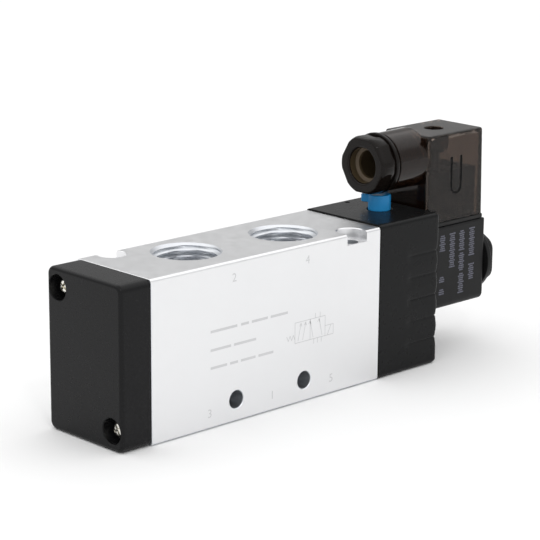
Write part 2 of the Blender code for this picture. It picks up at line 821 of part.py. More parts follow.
def make_override():
    """Blue push-and-turn override with a finger lever, its O-ring and its spring."""
    place = (OVERRIDE_X, 0.0, 0.0)
    knob = turned("override_knob", override_profile(), place, "Z")
    outline = rounded_outline(-LEVER_REACH, 0.0, -LEVER_HALF_WIDTH, LEVER_HALF_WIDTH, LEVER_CORNER)
    lever = lofted("add_override_lever", ((LEVER_BASE, outline), (LEVER_TOP, outline)), "Z", place)
    lever.rotation_euler.z = LEVER_TURN
    add(knob, lever)
    half_length = DRIVER_SLOT_LENGTH / 2
    half_width = DRIVER_SLOT_WIDTH / 2
    low = (-half_length, -half_width, OVERRIDE_TOP - DRIVER_SLOT_DEPTH)
    high = (half_length, half_width, OVERRIDE_TOP + OVERRUN)
    slot = block("cut_override_slot", low, high)
    slot.location = place
    slot.rotation_euler.z = LEVER_TURN
    cut(knob, slot)
    blue_plastic(knob)
    middle = sum(OVERRIDE_GROOVE) / 2
    inner = OVERRIDE_GROOVE_RADIUS + RUNNING_GAP
    outer = OVERRIDE_BORE - RUNNING_GAP
    sealing_ring("override_seal", middle, inner, outer, OVERRIDE_SEAL_WIDTH, place, "Z")
    start = OVERRIDE_FLOOR + SEAM
    end = OVERRIDE_SHANK_END - SEAM
    steel(coil_spring("override_spring", place, "Z", start, end, OVERRIDE_SPRING, 10))


def make_armature_tube():
    """Tube that screws into the pilot body, with its O-ring and the fixed core in its end."""
    axis = (0.0, 0.0, COIL_Z)
    groove_start, groove_end = TUBE_GROOVE
    collar_end = PILOT_END - SEAM
    profile = (
        (TUBE_BASE, TUBE_BORE),
        (TUBE_BASE, TUBE_FLANGE),
        (groove_start, TUBE_FLANGE),
        (groove_start, TUBE_GROOVE_RADIUS),
        (groove_end, TUBE_GROOVE_RADIUS),
        (groove_end, TUBE_FLANGE),
        (collar_end, TUBE_FLANGE),
        (collar_end, TUBE_RADIUS),
        (TUBE_END, TUBE_RADIUS),
        (TUBE_END, 0.0),
        (CORE_END + SEAM, 0.0),
        (CORE_END + SEAM, TUBE_BORE),
    )
    steel(turned("armature_tube", profile, axis, "X"))
    middle = sum(TUBE_GROOVE) / 2
    inner = TUBE_GROOVE_RADIUS + RUNNING_GAP
    outer = SOCKET_RADIUS - RUNNING_GAP
    sealing_ring("armature_tube_seal", middle, inner, outer, TUBE_SEAL_WIDTH, axis, "X")
    steel(rod("fixed_core", CORE_START, CORE_END, TUBE_BORE - SEAM, axis, "X"))


def make_plunger():
    """Plunger with its rubber seat and spring, and the brass seat that it closes."""
    axis = (0.0, 0.0, COIL_Z)
    profile = (
        (PLUNGER_SEAT_FLOOR, 0.0),
        (PLUNGER_SEAT_FLOOR, PLUNGER_SEAT_RADIUS + SEAM),
        (PLUNGER_START, PLUNGER_SEAT_RADIUS + SEAM),
        (PLUNGER_START, PLUNGER_RADIUS),
        (PLUNGER_END, PLUNGER_RADIUS),
        (PLUNGER_END, PLUNGER_SPRING_POCKET),
        (PLUNGER_SPRING_FLOOR, PLUNGER_SPRING_POCKET),
        (PLUNGER_SPRING_FLOOR, 0.0),
    )
    steel(turned("plunger", profile, axis, "X"))
    start = PLUNGER_START - PLUNGER_SEAT_LIP
    end = PLUNGER_SEAT_FLOOR - SEAM
    rubber(rod("plunger_seat_seal", start, end, PLUNGER_SEAT_RADIUS, axis, "X", 12))
    start = PLUNGER_SPRING_FLOOR + SEAM
    end = CORE_START - SEAM
    steel(coil_spring("plunger_spring", axis, "X", start, end, PLUNGER_SPRING, 10))
    start = SOCKET_FLOOR + SEAM
    profile = (
        (start, SEAT_ORIFICE),
        (start + SEAT_HEIGHT, SEAT_ORIFICE),
        (start + SEAT_HEIGHT, SEAT_NOSE),
        (start + SEAT_THICKNESS, SEAT_SHOULDER),
        (start + SEAT_THICKNESS, SEAT_RADIUS),
        (start, SEAT_RADIUS),
    )
    brass(turned("pilot_seat", profile, axis, "X", 16))


def terminal_half_size(label):
    """Half sizes of a blade along X and Y."""
    if label == "earth":
        return BLADE_HALF_THICKNESS, BLADE_HALF_WIDTH
    return BLADE_HALF_WIDTH, BLADE_HALF_THICKNESS


def coil_outline(inset):
    half = COIL_HALF_WIDTH - inset
    corner = max(COIL_CORNER - inset, LEAST_CORNER)
    return rounded_outline(-half, half, COIL_BOTTOM + inset, COIL_TOP - inset, corner)


def make_coil():
    """Moulded coil block and its copper winding."""
    axis = (0.0, 0.0, COIL_Z)
    winding_start, winding_end = WINDING_SPAN
    coil = lofted("coil", rounded_end(COIL_START, COIL_END, COIL_EDGE, coil_outline, 2), "X")
    bore = (
        (COIL_START - OVERRUN, 0.0),
        (COIL_START - OVERRUN, COIL_BORE),
        (winding_start, COIL_BORE),
        (winding_start, WINDING_RADIUS),
        (winding_end, WINDING_RADIUS),
        (winding_end, COIL_BORE),
        (COIL_END + OVERRUN, COIL_BORE),
        (COIL_END + OVERRUN, 0.0),
    )
    cut(coil, turned("cut_coil_bore", bore, axis, "X"))
    place = (PLUG_SCREW_X, 0.0, 0.0)
    floor = COIL_TOP - PLUG_THREAD_DEPTH
    cut(coil, rod("cut_plug_thread", floor, COIL_TOP + OVERRUN, PLUG_THREAD_RADIUS, place, "Z", 12))
    for label, x, y in TERMINALS:
        half_x, half_y = terminal_half_size(label)
        low = (x - half_x - SEAM, y - half_y - SEAM, BLADE_ROOT - SEAM)
        high = (x + half_x + SEAM, y + half_y + SEAM, COIL_TOP + OVERRUN)
        cut(coil, block("cut_coil_slot_" + label, low, high))
    black_plastic(coil)
    radii = (COIL_BORE, WINDING_RADIUS - SEAM)
    copper(flat_ring("coil_winding", winding_start + SEAM, winding_end - SEAM, radii, axis, "X"))


def make_terminals():
    """Three blades that stand out of the coil's top."""
    for label, x, y in TERMINALS:
        half_x, half_y = terminal_half_size(label)
        low = (x - half_x, y - half_y, BLADE_ROOT)
        high = (x + half_x, y + half_y, BLADE_TOP)
        steel(block("coil_terminal_" + label, low, high))


def make_coil_nut():
    """Plastic nut with a thin flange, and the ring that seals it to the coil."""
    axis = (0.0, 0.0, COIL_Z)
    nut = rod("coil_nut", NUT_START, NUT_FLANGE_END, NUT_FLANGE_RADIUS, axis, "X", 28)
    side = hexagon_outline(*NUT_HEXAGON)
    end = hexagon_outline(*NUT_HEXAGON_END)
    sections = ((NUT_START + OVERRUN, side), (NUT_END - NUT_EDGE, side), (NUT_END, end))
    add(nut, lofted("add_nut_grip", sections, "X", axis))
    recess_floor = NUT_START + NUT_RECESS_DEPTH
    bore = (
        (NUT_START - OVERRUN, 0.0),
        (NUT_START - OVERRUN, NUT_RECESS_RADIUS),
        (recess_floor, NUT_RECESS_RADIUS),
        (recess_floor, TUBE_RADIUS + SEAM),
        (NUT_END + OVERRUN, TUBE_RADIUS + SEAM),
        (NUT_END + OVERRUN, 0.0),
    )
    cut(nut, turned("cut_nut_bore", bore, axis, "X"))
    black_plastic(nut)
    rubber(flat_ring("coil_nut_seal", COIL_END + SEAM, NUT_SEAL_END, NUT_SEAL, axis, "X"))


def plug_outline(inset, draft=0.0):
    half = PLUG_HALF_WIDTH - inset
    corner = max(PLUG_CORNER - inset, LEAST_CORNER)
    left = PLUG_START + inset + draft
    right = PLUG_END - inset - draft
    return rounded_outline(left, right, -half, half, corner)


def plug_sections():
    """Sections of the housing, whose ends lean in towards its rounded top."""
    sections = rounded_end(PLUG_BOTTOM, PLUG_TOP, END_ROUND, lambda inset: plug_outline(inset, PLUG_DRAFT))
    sections[0] = (PLUG_BOTTOM, plug_outline(0.0))
    return sections


def make_plug_housing():
    """Hollow connector housing with the cable gland boss on its left side."""
    housing = lofted("plug_housing", plug_sections(), "Z")
    gland_axis = (0.0, 0.0, GLAND_Z)
    screw_axis = (PLUG_SCREW_X, 0.0, 0.0)
    inside_start = PLUG_START + PLUG_WALL
    boss = rod("add_gland_boss", GLAND_BOSS_START, inside_start, GLAND_BOSS_RADIUS, gland_axis, "X", 28)
    add(housing, boss)
    low = (inside_start, -PLUG_HALF_WIDTH + PLUG_WALL, PLUG_BOTTOM - OVERRUN)
    high = (PLUG_END - PLUG_WALL, PLUG_HALF_WIDTH - PLUG_WALL, PLUG_TOP - PLUG_WALL)
    cut(housing, block("cut_plug_inside", low, high))
    column_top = PLUG_TOP - PLUG_WALL / 2
    add(housing, rod("add_screw_column", COLUMN_BOTTOM, column_top, COLUMN_RADIUS, screw_axis, "Z"))
    entry = (
        (GLAND_BOSS_START - OVERRUN, 0.0),
        (GLAND_BOSS_START - OVERRUN, GLAND_THREAD),
        (GLAND_THREAD_END, GLAND_THREAD),
        (GLAND_THREAD_END, CABLE_WAY),
        (inside_start + OVERRUN, CABLE_WAY),
        (inside_start + OVERRUN, 0.0),
    )
    cut(housing, turned("cut_cable_entry", entry, gland_axis, "X"))
    screw_way = (
        (COLUMN_BOTTOM - OVERRUN, 0.0),
        (COLUMN_BOTTOM - OVERRUN, PLUG_SCREW_WAY),
        (PLUG_HEAD_FLOOR, PLUG_SCREW_WAY),
        (PLUG_HEAD_FLOOR, PLUG_HEAD_WAY),
        (PLUG_TOP + OVERRUN, PLUG_HEAD_WAY),
        (PLUG_TOP + OVERRUN, 0.0),
    )
    cut(housing, turned("cut_screw_way", screw_way, screw_axis, "Z", 16))
    smoke_plastic(housing)


def make_terminal_block():
    """Terminal block with a way for each blade and a clamp screw over it."""
    start, end = BLOCK_SPAN
    low = (start, -BLOCK_HALF_WIDTH, BLOCK_BOTTOM)
    terminal_block = block("terminal_block", low, (end, BLOCK_HALF_WIDTH, BLOCK_TOP))
    over = BLOCK_TOP + OVERRUN
    place = (PLUG_SCREW_X, 0.0, 0.0)
    cut(terminal_block, rod("cut_block_screw_way", PLUG_BOTTOM, over, PLUG_SCREW_WAY, place, "Z", 12))
    for label, x, y in TERMINALS:
        half_x, half_y = terminal_half_size(label)
        low = (x - half_x - SEAM, y - half_y - SEAM, PLUG_BOTTOM)
        high = (x + half_x + SEAM, y + half_y + SEAM, BLADE_WAY_TOP)
        cut(terminal_block, block("cut_blade_way_" + label, low, high))
        place = (x, y, 0.0)
        hole = rod("cut_clamp_screw_" + label, CLAMP_HOLE_FLOOR, over, CLAMP_HOLE_RADIUS, place, "Z", 12)
        cut(terminal_block, hole)
        name = "terminal_screw_" + label
        sizes = (CLAMP_SCREW_TIP, CLAMP_SCREW_RADIUS, CLAMP_SCREW_HEAD)
        pan_screw(name, place, "Z", CLAMP_SCREW_SEAT, CLAMP_SCREW_TOP, *sizes)
    black_plastic(terminal_block)


def make_plug_fixing():
    """Flat gasket between coil and plug, and the fixing screw with its ring."""
    low = COIL_TOP + GASKET_GAP
    high = PLUG_BOTTOM - GASKET_GAP
    outline = plug_outline(-GASKET_LIP)
    gasket = lofted("plug_gasket", ((low, outline), (high, outline)), "Z")
    half = PLUG_HALF_WIDTH - GASKET_RIM
    opening_low = (PLUG_START + GASKET_RIM, -half, COIL_TOP - OVERRUN)
    opening_high = (PLUG_END - GASKET_RIM, half, PLUG_BOTTOM + OVERRUN)
    cut(gasket, block("cut_gasket_opening", opening_low, opening_high))
    rubber(gasket)
    axis = (PLUG_SCREW_X, 0.0, 0.0)
    sizes = (PLUG_SCREW_TIP, PLUG_SCREW_RADIUS, PLUG_SCREW_HEAD)
    pan_screw("plug_screw", axis, "Z", PLUG_SCREW_SEAT, PLUG_SCREW_TOP, *sizes)
    rubber(flat_ring("plug_screw_seal", *SCREW_RING_SPAN, SCREW_RING, axis, "Z", 16))


def make_cable_gland():
    """Gland nut with hexagon, flange and threaded spigot, then its washer and rubber."""
    axis = (0.0, 0.0, GLAND_Z)
    flange_end = GLAND_BOSS_START - SEAM
    spigot = GLAND_THREAD - SEAM
    profile = (
        (GLAND_START + OVERRUN, 0.0),
        (GLAND_START + OVERRUN, GLAND_NECK),
        (GLAND_FLANGE_START, GLAND_NECK),
        (GLAND_FLANGE_START, GLAND_FLANGE_RADIUS),
        (flange_end, GLAND_FLANGE_RADIUS),
        (flange_end, spigot),
        (GLAND_SPIGOT_END, spigot),
        (GLAND_SPIGOT_END, 0.0),
    )
    nut = turned("gland_nut", profile, axis, "X", 28)
    side = hexagon_outline(*GLAND_HEXAGON)
    end = hexagon_outline(*GLAND_HEXAGON_END)
    sections = ((GLAND_START, end), (GLAND_START + GLAND_EDGE, side), (GLAND_FLANGE_START + SEAM, side))
    add(nut, lofted("add_gland_grip", sections, "X", axis))
    mouth_start = GLAND_START - OVERRUN
    cut(nut, rod("cut_gland_mouth", mouth_start, GLAND_SPIGOT_END + OVERRUN, GLAND_MOUTH, axis, "X"))
    smoke_plastic(nut)
    washer_start = GLAND_SPIGOT_END + SEAM
    steel(flat_ring("gland_washer", washer_start, WASHER_END, (WASHER_HOLE, spigot), axis, "X"))
    rubber(flat_ring("gland_seal", *GLAND_RUBBER_SPAN, (GLAND_RUBBER_HOLE, spigot), axis, "X"))


def make_valve():
    make_valve_body()
    make_end_cap()
    make_end_screws()
    make_spool()
    make_pilot_piston()
    make_pilot_body()
    make_override()
    make_armature_tube()
    make_plunger()
    make_coil()
    make_terminals()
    make_coil_nut()
    make_plug_housing()
    make_terminal_block()
    make_plug_fixing()
    make_cable_gland()


clear_scene()
FRAME = row_frame()
make_valve()
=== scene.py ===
"""Looks of the solenoid directional valve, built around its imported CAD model.

Lengths are in metres, in the CAD model's own frame: +X from the end cap to the coil, +Z up, and the
front side faces -Y. Places come from the CAD nodes' boxes and from the record's openings.
"""

import json
import math

import bmesh
import bpy
from mathutils import Matrix, Vector


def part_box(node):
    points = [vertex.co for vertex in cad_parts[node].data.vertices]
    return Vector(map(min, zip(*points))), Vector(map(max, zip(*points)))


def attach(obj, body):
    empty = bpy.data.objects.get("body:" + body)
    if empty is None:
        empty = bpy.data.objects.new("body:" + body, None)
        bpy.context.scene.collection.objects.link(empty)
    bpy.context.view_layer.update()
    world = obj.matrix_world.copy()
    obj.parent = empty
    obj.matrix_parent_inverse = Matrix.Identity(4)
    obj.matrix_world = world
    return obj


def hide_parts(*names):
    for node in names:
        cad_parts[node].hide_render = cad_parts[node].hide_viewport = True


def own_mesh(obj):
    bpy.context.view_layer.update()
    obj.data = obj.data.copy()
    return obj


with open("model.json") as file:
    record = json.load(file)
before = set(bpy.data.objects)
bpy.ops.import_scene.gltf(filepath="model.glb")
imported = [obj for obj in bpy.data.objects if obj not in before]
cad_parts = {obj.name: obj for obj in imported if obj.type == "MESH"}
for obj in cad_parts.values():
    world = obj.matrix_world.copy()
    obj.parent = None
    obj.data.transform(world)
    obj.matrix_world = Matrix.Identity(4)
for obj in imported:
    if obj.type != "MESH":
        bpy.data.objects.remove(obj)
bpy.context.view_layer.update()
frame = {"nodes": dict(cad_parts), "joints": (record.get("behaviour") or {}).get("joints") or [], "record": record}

MM = 0.001
FACE_PLANES = {"X": (1, 2, 0), "Y": (0, 2, 1), "Z": (0, 1, 2)}
OPENINGS = {o["name"]: o["box_m"] for o in frame["record"]["physics"]["openings"]}

# Camera: the view of the picture, as a direction, a distance and a lens.
CAMERA_AZIMUTH = math.radians(-43.79)
CAMERA_ELEVATION = math.radians(14.71)
CAMERA_ROLL = math.radians(0.4)
CAMERA_DISTANCE = 0.6712
CAMERA_TARGET = Vector((-0.0043, 0.0065, 0.0362))
CAMERA_LENS = 142.2

# The override's finger lever points left and back.
LEVER_TURN = math.radians(-65)

# G1/2 thread: 14 turns to the inch.
THREAD_PITCH = 25.4 * MM / 14
THREAD_MAJOR = 10.48 * MM
THREAD_MINOR = 9.32 * MM
PORT_MOUTH = 10.9 * MM

# Sizes used for more than one piece.
TAPPED_RADIUS = 2.3 * MM
MOUTH_EDGE = 0.25 * MM
MARK_RELIEF = 0.012 * MM
AXIS_GAP = 0.001 * MM


# ---------------- shader nodes


def add_node(tree, kind, values=None, **settings):
    """New shader node with its settings and its unlinked input values."""
    made = tree.nodes.new(kind)
    for key, value in settings.items():
        setattr(made, key, value)
    for key, value in (values or {}).items():
        made.inputs[key].default_value = value
    return made


def new_material(name, values):
    """Principled material and its tree, with the given input values."""
    made = bpy.data.materials.new(name)
    made.use_nodes = True
    shader = made.node_tree.nodes["Principled BSDF"]
    for key, value in values.items():
        shader.inputs[key].default_value = value
    return made, made.node_tree, shader


def coordinates(tree, scale=(1.0, 1.0, 1.0)):
    """Object coordinates in metres, stretched by scale."""
    source = add_node(tree, "ShaderNodeTexCoord")
    mapping = add_node(tree, "ShaderNodeMapping", {"Scale": scale})
    tree.links.new(source.outputs["Object"], mapping.inputs["Vector"])
    return mapping.outputs["Vector"]


def noise(tree, scale, detail=3.0, stretch=(1.0, 1.0, 1.0)):
    """Noise over the piece, scale being features per metre."""
    made = add_node(tree, "ShaderNodeTexNoise", {"Scale": scale, "Detail": detail})
    tree.links.new(coordinates(tree, stretch), made.inputs["Vector"])
    return made.outputs["Fac"]


def remap(tree, value, low, high, start=0.3, end=0.7):
    """Map a factor between start and end onto low to high."""
    values = {"From Min": start, "From Max": end, "To Min": low, "To Max": high}
    made = add_node(tree, "ShaderNodeMapRange", values)
    tree.links.new(value, made.inputs["Value"])
    return made.outputs["Result"]


def blend_colours(tree, factor, first, second):
    made = add_node(tree, "ShaderNodeMix", data_type="RGBA")
    made.inputs["A"].default_value = (*first, 1.0)
    made.inputs["B"].default_value = (*second, 1.0)
    tree.links.new(factor, made.inputs["Factor"])
    return made.outputs["Result"]


def value_ramp(tree, value, stops, scale):
    """Smooth curve of a factor through (position, level) stops, on a ramp that tops out at scale."""
    made = add_node(tree, "ShaderNodeValToRGB")
    made.color_ramp.interpolation = "EASE"
    points = made.color_ramp.elements
    while len(points) < len(stops):
        points.new(0.5)
    for point, (position, level) in zip(points, stops):
        point.position = position
        point.color = (level / scale, level / scale, level / scale, 1.0)
    tree.links.new(value, made.inputs["Fac"])
    return made.outputs["Color"]


def bump(tree, shader, height, strength, depth):
    """Bump the shader's normal; a second call adds to the first."""
    made = add_node(tree, "ShaderNodeBump", {"Strength": strength, "Distance": depth})
    tree.links.new(height, made.inputs["Height"])
    links = shader.inputs["Normal"].links
    if links:
        tree.links.new(links[0].from_socket, made.inputs["Normal"])
    tree.links.new(made.outputs["Normal"], shader.inputs["Normal"])


# Surface grains: features per metre, strength and depth.
PLAIN_GRAIN = (5000.0, 0.15, 20e-6)
FINE_GRAIN = (5000.0, 0.015, 2e-6)
GLASSY_GRAIN = (500.0, 0.03, 15e-6)


def grained(name, first, second, rough, values, grain=PLAIN_GRAIN, cloud=60.0):
    """Material that drifts between two tones, with uneven roughness and a fine surface grain."""
    made, tree, shader = new_material(name, values)
    tree.links.new(blend_colours(tree, noise(tree, cloud), first, second), shader.inputs["Base Color"])
    tree.links.new(remap(tree, noise(tree, 350.0), *rough), shader.inputs["Roughness"])
    scale, strength, depth = grain
    bump(tree, shader, noise(tree, scale, 2.0), strength, depth)
    return made


def gloss(level):
    """Shader values of an opaque plastic."""
    return {"Specular IOR Level": level}


def clear(transmission, index):
    """Shader values of a translucent plastic."""
    return {"Transmission Weight": transmission, "IOR": index}


METAL = {"Metallic": 1.0}

# Two tones, a roughness range, shader values, and where they aren't the usual ones a grain and the
# colour clouds' features per metre.
FINISHES = {
    # Satin anodised extrusion, blasted.
    "body_aluminium": (
        (0.805, 0.808, 0.818), (0.835, 0.838, 0.846), (0.32, 0.38), METAL, (7000.0, 0.10, 12e-6), 35.0
    ),
    # Bright metal of ports and holes.
    "turned_aluminium": ((0.68, 0.70, 0.73), (0.76, 0.78, 0.81), (0.36, 0.44), METAL),
    "black_plastic": (
        (0.0065, 0.0065, 0.0070), (0.0085, 0.0085, 0.0091), (0.24, 0.30), gloss(0.145), FINE_GRAIN
    ),
    "pilot_plastic": (
        (0.0062, 0.0064, 0.0067), (0.0082, 0.0084, 0.0087), (0.26, 0.32), gloss(0.12), FINE_GRAIN
    ),
    "coil_plastic": (
        (0.0080, 0.0081, 0.0085), (0.0105, 0.0105, 0.0110), (0.34, 0.42), gloss(0.15), (4000.0, 0.06, 8e-6)
    ),
    # Smoke-brown translucent plastic, tinted once for each face that light passes.
    "smoke_plastic": (
        (0.190, 0.150, 0.126), (0.205, 0.162, 0.136), (0.06, 0.11), clear(0.98, 1.29), GLASSY_GRAIN, 120.0
    ),
    # The same plastic in the gland nut, where it is thicker: almost black, with a brown glow.
    "gland_plastic": (
        (0.0070, 0.0048, 0.0038), (0.0095, 0.0065, 0.0050), (0.04, 0.08), clear(0.40, 1.26),
        GLASSY_GRAIN, 120.0,
    ),
    # And round the gland's thread, where it glows dark brown.
    "boss_plastic": (
        (0.026, 0.0125, 0.0075), (0.034, 0.0165, 0.0095), (0.06, 0.11), clear(0.75, 1.33), GLASSY_GRAIN, 120.0
    ),
    # Amber-brown wall inside the gland's mouth, also on its washer and seal: painted glow of light shining through
    # the brown plastic.
    "painted_glow_amber": (
        (0.050, 0.036, 0.019), (0.066, 0.048, 0.026), (0.35, 0.5), gloss(0.25), FINE_GRAIN, 600.0
    ),
    # A lighter copy of it on the step in the gland's mouth: painted highlight where light catches the rim.
    "painted_highlight_lip": ((0.085, 0.062, 0.038), (0.11, 0.080, 0.050), (0.35, 0.5), gloss(0.3), FINE_GRAIN, 600.0),
    "blue_plastic": ((0.014, 0.235, 0.53), (0.018, 0.265, 0.60), (0.28, 0.38), gloss(0.35)),
    "white_plastic": ((0.70, 0.70, 0.67), (0.76, 0.76, 0.73), (0.35, 0.45), {}),
    # Nickel plate, a little yellow, with fine scuffs.
    "plated_steel": (
        (0.84, 0.82, 0.75), (0.92, 0.90, 0.84), (0.12, 0.26), METAL, (9000.0, 0.12, 8e-6), 900.0
    ),
    # Dark steel for the screw down the connector's hole: painted shade where the hole shadows it.
    "painted_shade_steel": (
        (0.045, 0.042, 0.040), (0.065, 0.061, 0.058), (0.30, 0.42), METAL, (6000.0, 0.10, 8e-6)
    ),
    "stainless_steel": ((0.52, 0.52, 0.53), (0.62, 0.62, 0.63), (0.20, 0.34), METAL, (6000.0, 0.10, 10e-6)),
    "brass": ((0.72, 0.52, 0.22), (0.80, 0.62, 0.30), (0.20, 0.34), METAL),
    "copper_wire": ((0.60, 0.26, 0.12), (0.74, 0.36, 0.18), (0.22, 0.32), METAL),
    "rubber_seal": (
        (0.010, 0.010, 0.010), (0.016, 0.016, 0.016), (0.62, 0.75), gloss(0.3), (2500.0, 0.25, 25e-6)
    ),
    # Laser-etched metal, darker and duller than the face round it.
    "etched_mark": ((0.60, 0.60, 0.61), (0.68, 0.68, 0.69), (0.42, 0.55), {"Metallic": 0.9}),
}
MATERIALS = {name: grained(name, *row) for name, row in FINISHES.items()}

# CAD nodes that don't take their slot's finish.
# The gland's washer and seal take the painted amber glow of light through the brown plastic.
NODE_LOOKS = {"gland_washer": "painted_glow_amber", "gland_seal": "painted_glow_amber"}


def add_tool_marks(name, scale, stretch, strength, depth):
    """Fine lines over a metal's grain."""
    tree = MATERIALS[name].node_tree
    bump(tree, tree.nodes["Principled BSDF"], noise(tree, scale, 2.0, stretch), strength, depth)


def add_winding():
    """Turns of wire along X."""
    tree = MATERIALS["copper_wire"].node_tree
    wire = add_node(tree, "ShaderNodeTexWave", {"Scale": 900.0, "Distortion": 0.3}, bands_direction="X")
    tree.links.new(coordinates(tree), wire.inputs["Vector"])
    bump(tree, tree.nodes["Principled BSDF"], wire.outputs["Fac"], 0.6, 60e-6)


def pad_print():
    """Pale worn ink on the coil."""
    made, tree, shader = new_material("pad_print", {"Roughness": 0.5, "Specular IOR Level": 0.3})
    wear = remap(tree, noise(tree, 1800.0, 4.0), 0.0, 1.0, 0.35, 0.65)
    colour = blend_colours(tree, wear, (0.060, 0.061, 0.080), (0.125, 0.128, 0.165))
    tree.links.new(colour, shader.inputs["Base Color"])
    bump(tree, shader, wear, 0.1, 5e-6)
    return made


def floor_paint():
    made, tree, shader = new_material("floor_paint", {"Roughness": 0.7, "Specular IOR Level": 0.15})
    colour = blend_colours(tree, noise(tree, 8.0), (0.90, 0.90, 0.90), (0.91, 0.91, 0.91))
    tree.links.new(colour, shader.inputs["Base Color"])
    return made


add_tool_marks("body_aluminium", 2200.0, (0.02, 1.0, 1.0), 0.05, 8e-6)
add_tool_marks("turned_aluminium", 4000.0, (0.1, 0.1, 1.0), 0.08, 10e-6)
add_winding()
MATERIALS["pad_print"] = pad_print()


# ---------------- mesh helpers


def oriented(u, v, along, axis):
    """Point with coordinates u, v across an axis and along it."""
    point = [0.0, 0.0, 0.0]
    first, second, third = FACE_PLANES[axis]
    point[first] = u
    point[second] = v
    point[third] = along
    return Vector(point)


def add_object(name, data):
    made = bpy.data.objects.new(name, data)
    bpy.context.scene.collection.objects.link(made)
    return made


def mesh_object(name, bm):
    bmesh.ops.recalc_face_normals(bm, faces=bm.faces)
    mesh = bpy.data.meshes.new(name)
    bm.to_mesh(mesh)
    bm.free()
    return add_object(name, mesh)


def skin(name, loops, closed=False):
    """Solid through loops of points; a closed one joins its last loop to its first."""
    bm = bmesh.new()
    made = [[bm.verts.new(point) for point in loop] for loop in loops]
    for first, second in zip(made, made[1:] + (made[:1] if closed else [])):
        for i, corner in enumerate(first):
            j = (i + 1) % len(first)
            bm.faces.new((corner, first[j], second[j], second[i]))
    if not closed:
        bm.faces.new(made[0])
        bm.faces.new(made[-1])
    return mesh_object(name, bm)


def lofted(name, sections, axis):
    """Solid through (along, outline) sections."""
    return skin(name, [[oriented(u, v, along, axis) for u, v in outline] for along, outline in sections])


def turned(name, profile, centre, axis, steps, closed=False):
    """Solid turned from (along, radius) points; centre gives the axis, and along is absolute."""
    first, second, _ = FACE_PLANES[axis]
    loops = []
    for along, radius in profile:
        loop = []
        for i in range(steps):
            angle = 2 * math.pi * i / steps
            u = centre[first] + radius * math.cos(angle)
            v = centre[second] + radius * math.sin(angle)
            loop.append(oriented(u, v, along, axis))
        loops.append(loop)
    return skin(name, loops, closed)


def softened(points, steps=5, closed=False):
    """Round the corners of a line of (a, b, radius) points, and return (a, b) points."""
    made = []
    count = len(points)
    for i, (a, b, radius) in enumerate(points):
        at_end = not closed and i in (0, count - 1)
        if radius <= 0.0 or at_end:
            made.append((a, b))
            continue
        corner = Vector((a, b))
        before = Vector(points[i - 1][:2]) - corner
        after = Vector(points[(i + 1) % count][:2]) - corner
        opening = before.angle(after)
        reach = min(radius / math.tan(opening / 2), 0.49 * before.length, 0.49 * after.length)
        start = corner + before.normalized() * reach
        end = corner + after.normalized() * reach
        for k in range(steps + 1):
            t = k / steps
            point = start * (1 - t) ** 2 + corner * 2 * t * (1 - t) + end * t**2
            made.append(tuple(point))
    return made


def turned_line(name, line, centre, axis, steps):
    """Solid turned from a line of (along, radius, rounding) points that starts and ends on the axis."""
    profile = [(a, max(r, AXIS_GAP)) for a, r in softened(line)]
    return turned(name, profile, centre, axis, steps)


def chamfered(name, low, high, edge, outline, axis):
    """Solid from low to high along an axis, with the edges of both ends broken."""
    sections = ((low, edge), (low + edge, 0.0), (high - edge, 0.0), (high, edge))
    return lofted(name, [(along, outline(inset)) for along, inset in sections], axis)


def rounded_end(end, edge, outline):
    """Sections that round off an end's edge; a negative edge is for an end that faces down its axis."""
    steps = 6
    sections = []
    for i in range(steps + 1):
        angle = 0.5 * math.pi * i / steps
        sections.append((end - edge * (1 - math.sin(angle)), outline(abs(edge) * (1 - math.cos(angle)))))
    return sections


def rounded_outline(low_u, high_u, low_v, high_v, radius):
    """Rectangle with round corners."""
    steps = 8
    points = []
    corners = (
        (high_u - radius, high_v - radius, 0.0),
        (low_u + radius, high_v - radius, 0.5),
        (low_u + radius, low_v + radius, 1.0),
        (high_u - radius, low_v + radius, 1.5),
    )
    for u, v, start in corners:
        for i in range(steps + 1):
            angle = math.pi * (start + 0.5 * i / steps)
            points.append((u + radius * math.cos(angle), v + radius * math.sin(angle)))
    return points


def rounded_hexagon(radius, rounding, steps, phase=0.0):
    """Hexagon round the origin, with round corners."""
    angles = [phase + 2 * math.pi * i / 6 for i in range(6)]
    corners = [(radius * math.cos(a), radius * math.sin(a), rounding) for a in angles]
    return softened(corners, steps, closed=True)


def box_solid(name, low, high):
    """Box between two corners."""
    outline = ((low[0], low[1]), (high[0], low[1]), (high[0], high[1]), (low[0], high[1]))
    return lofted(name, ((low[2], outline), (high[2], outline)), "Z")


def joined(name, objects):
    """One object from several that don't touch."""
    bm = bmesh.new()
    for obj in objects:
        bm.from_mesh(obj.data)
        bpy.data.objects.remove(obj)
    return mesh_object(name, bm)


def evaluated_mesh(obj):
    graph = bpy.context.evaluated_depsgraph_get()
    return bpy.data.meshes.new_from_object(obj.evaluated_get(graph))


def boolean(target, tool, operation="DIFFERENCE"):
    """Cut or join with a tool and keep only the result."""
    modifier = target.modifiers.new("boolean", "BOOLEAN")
    modifier.operation = operation
    modifier.solver = "EXACT"
    modifier.object = tool
    mesh = evaluated_mesh(target)
    target.modifiers.clear()
    target.data = mesh
    bpy.data.objects.remove(tool)


def finish(obj, body, slot, *nodes, look=None, angle=35):
    """Shade a piece, give it its slot's finish or another look, and let it ride in its nodes' place."""
    obj.data.materials.clear()
    obj.data.materials.append(MATERIALS[look or slot])
    obj.data.shade_smooth()
    obj.data.set_sharp_from_angle(angle=math.radians(angle))
    weighted = obj.modifiers.new("weighted", "WEIGHTED_NORMAL")
    weighted.keep_sharp = True
    weighted.weight = 80
    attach(obj, body)
    if nodes:
        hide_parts(*nodes)


def centre(name):
    low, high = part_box(name)
    return (low + high) / 2


# ---------------- valve body

BODY_LOW, BODY_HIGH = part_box("valve_body")
SPOOL_AXIS = centre("spool")

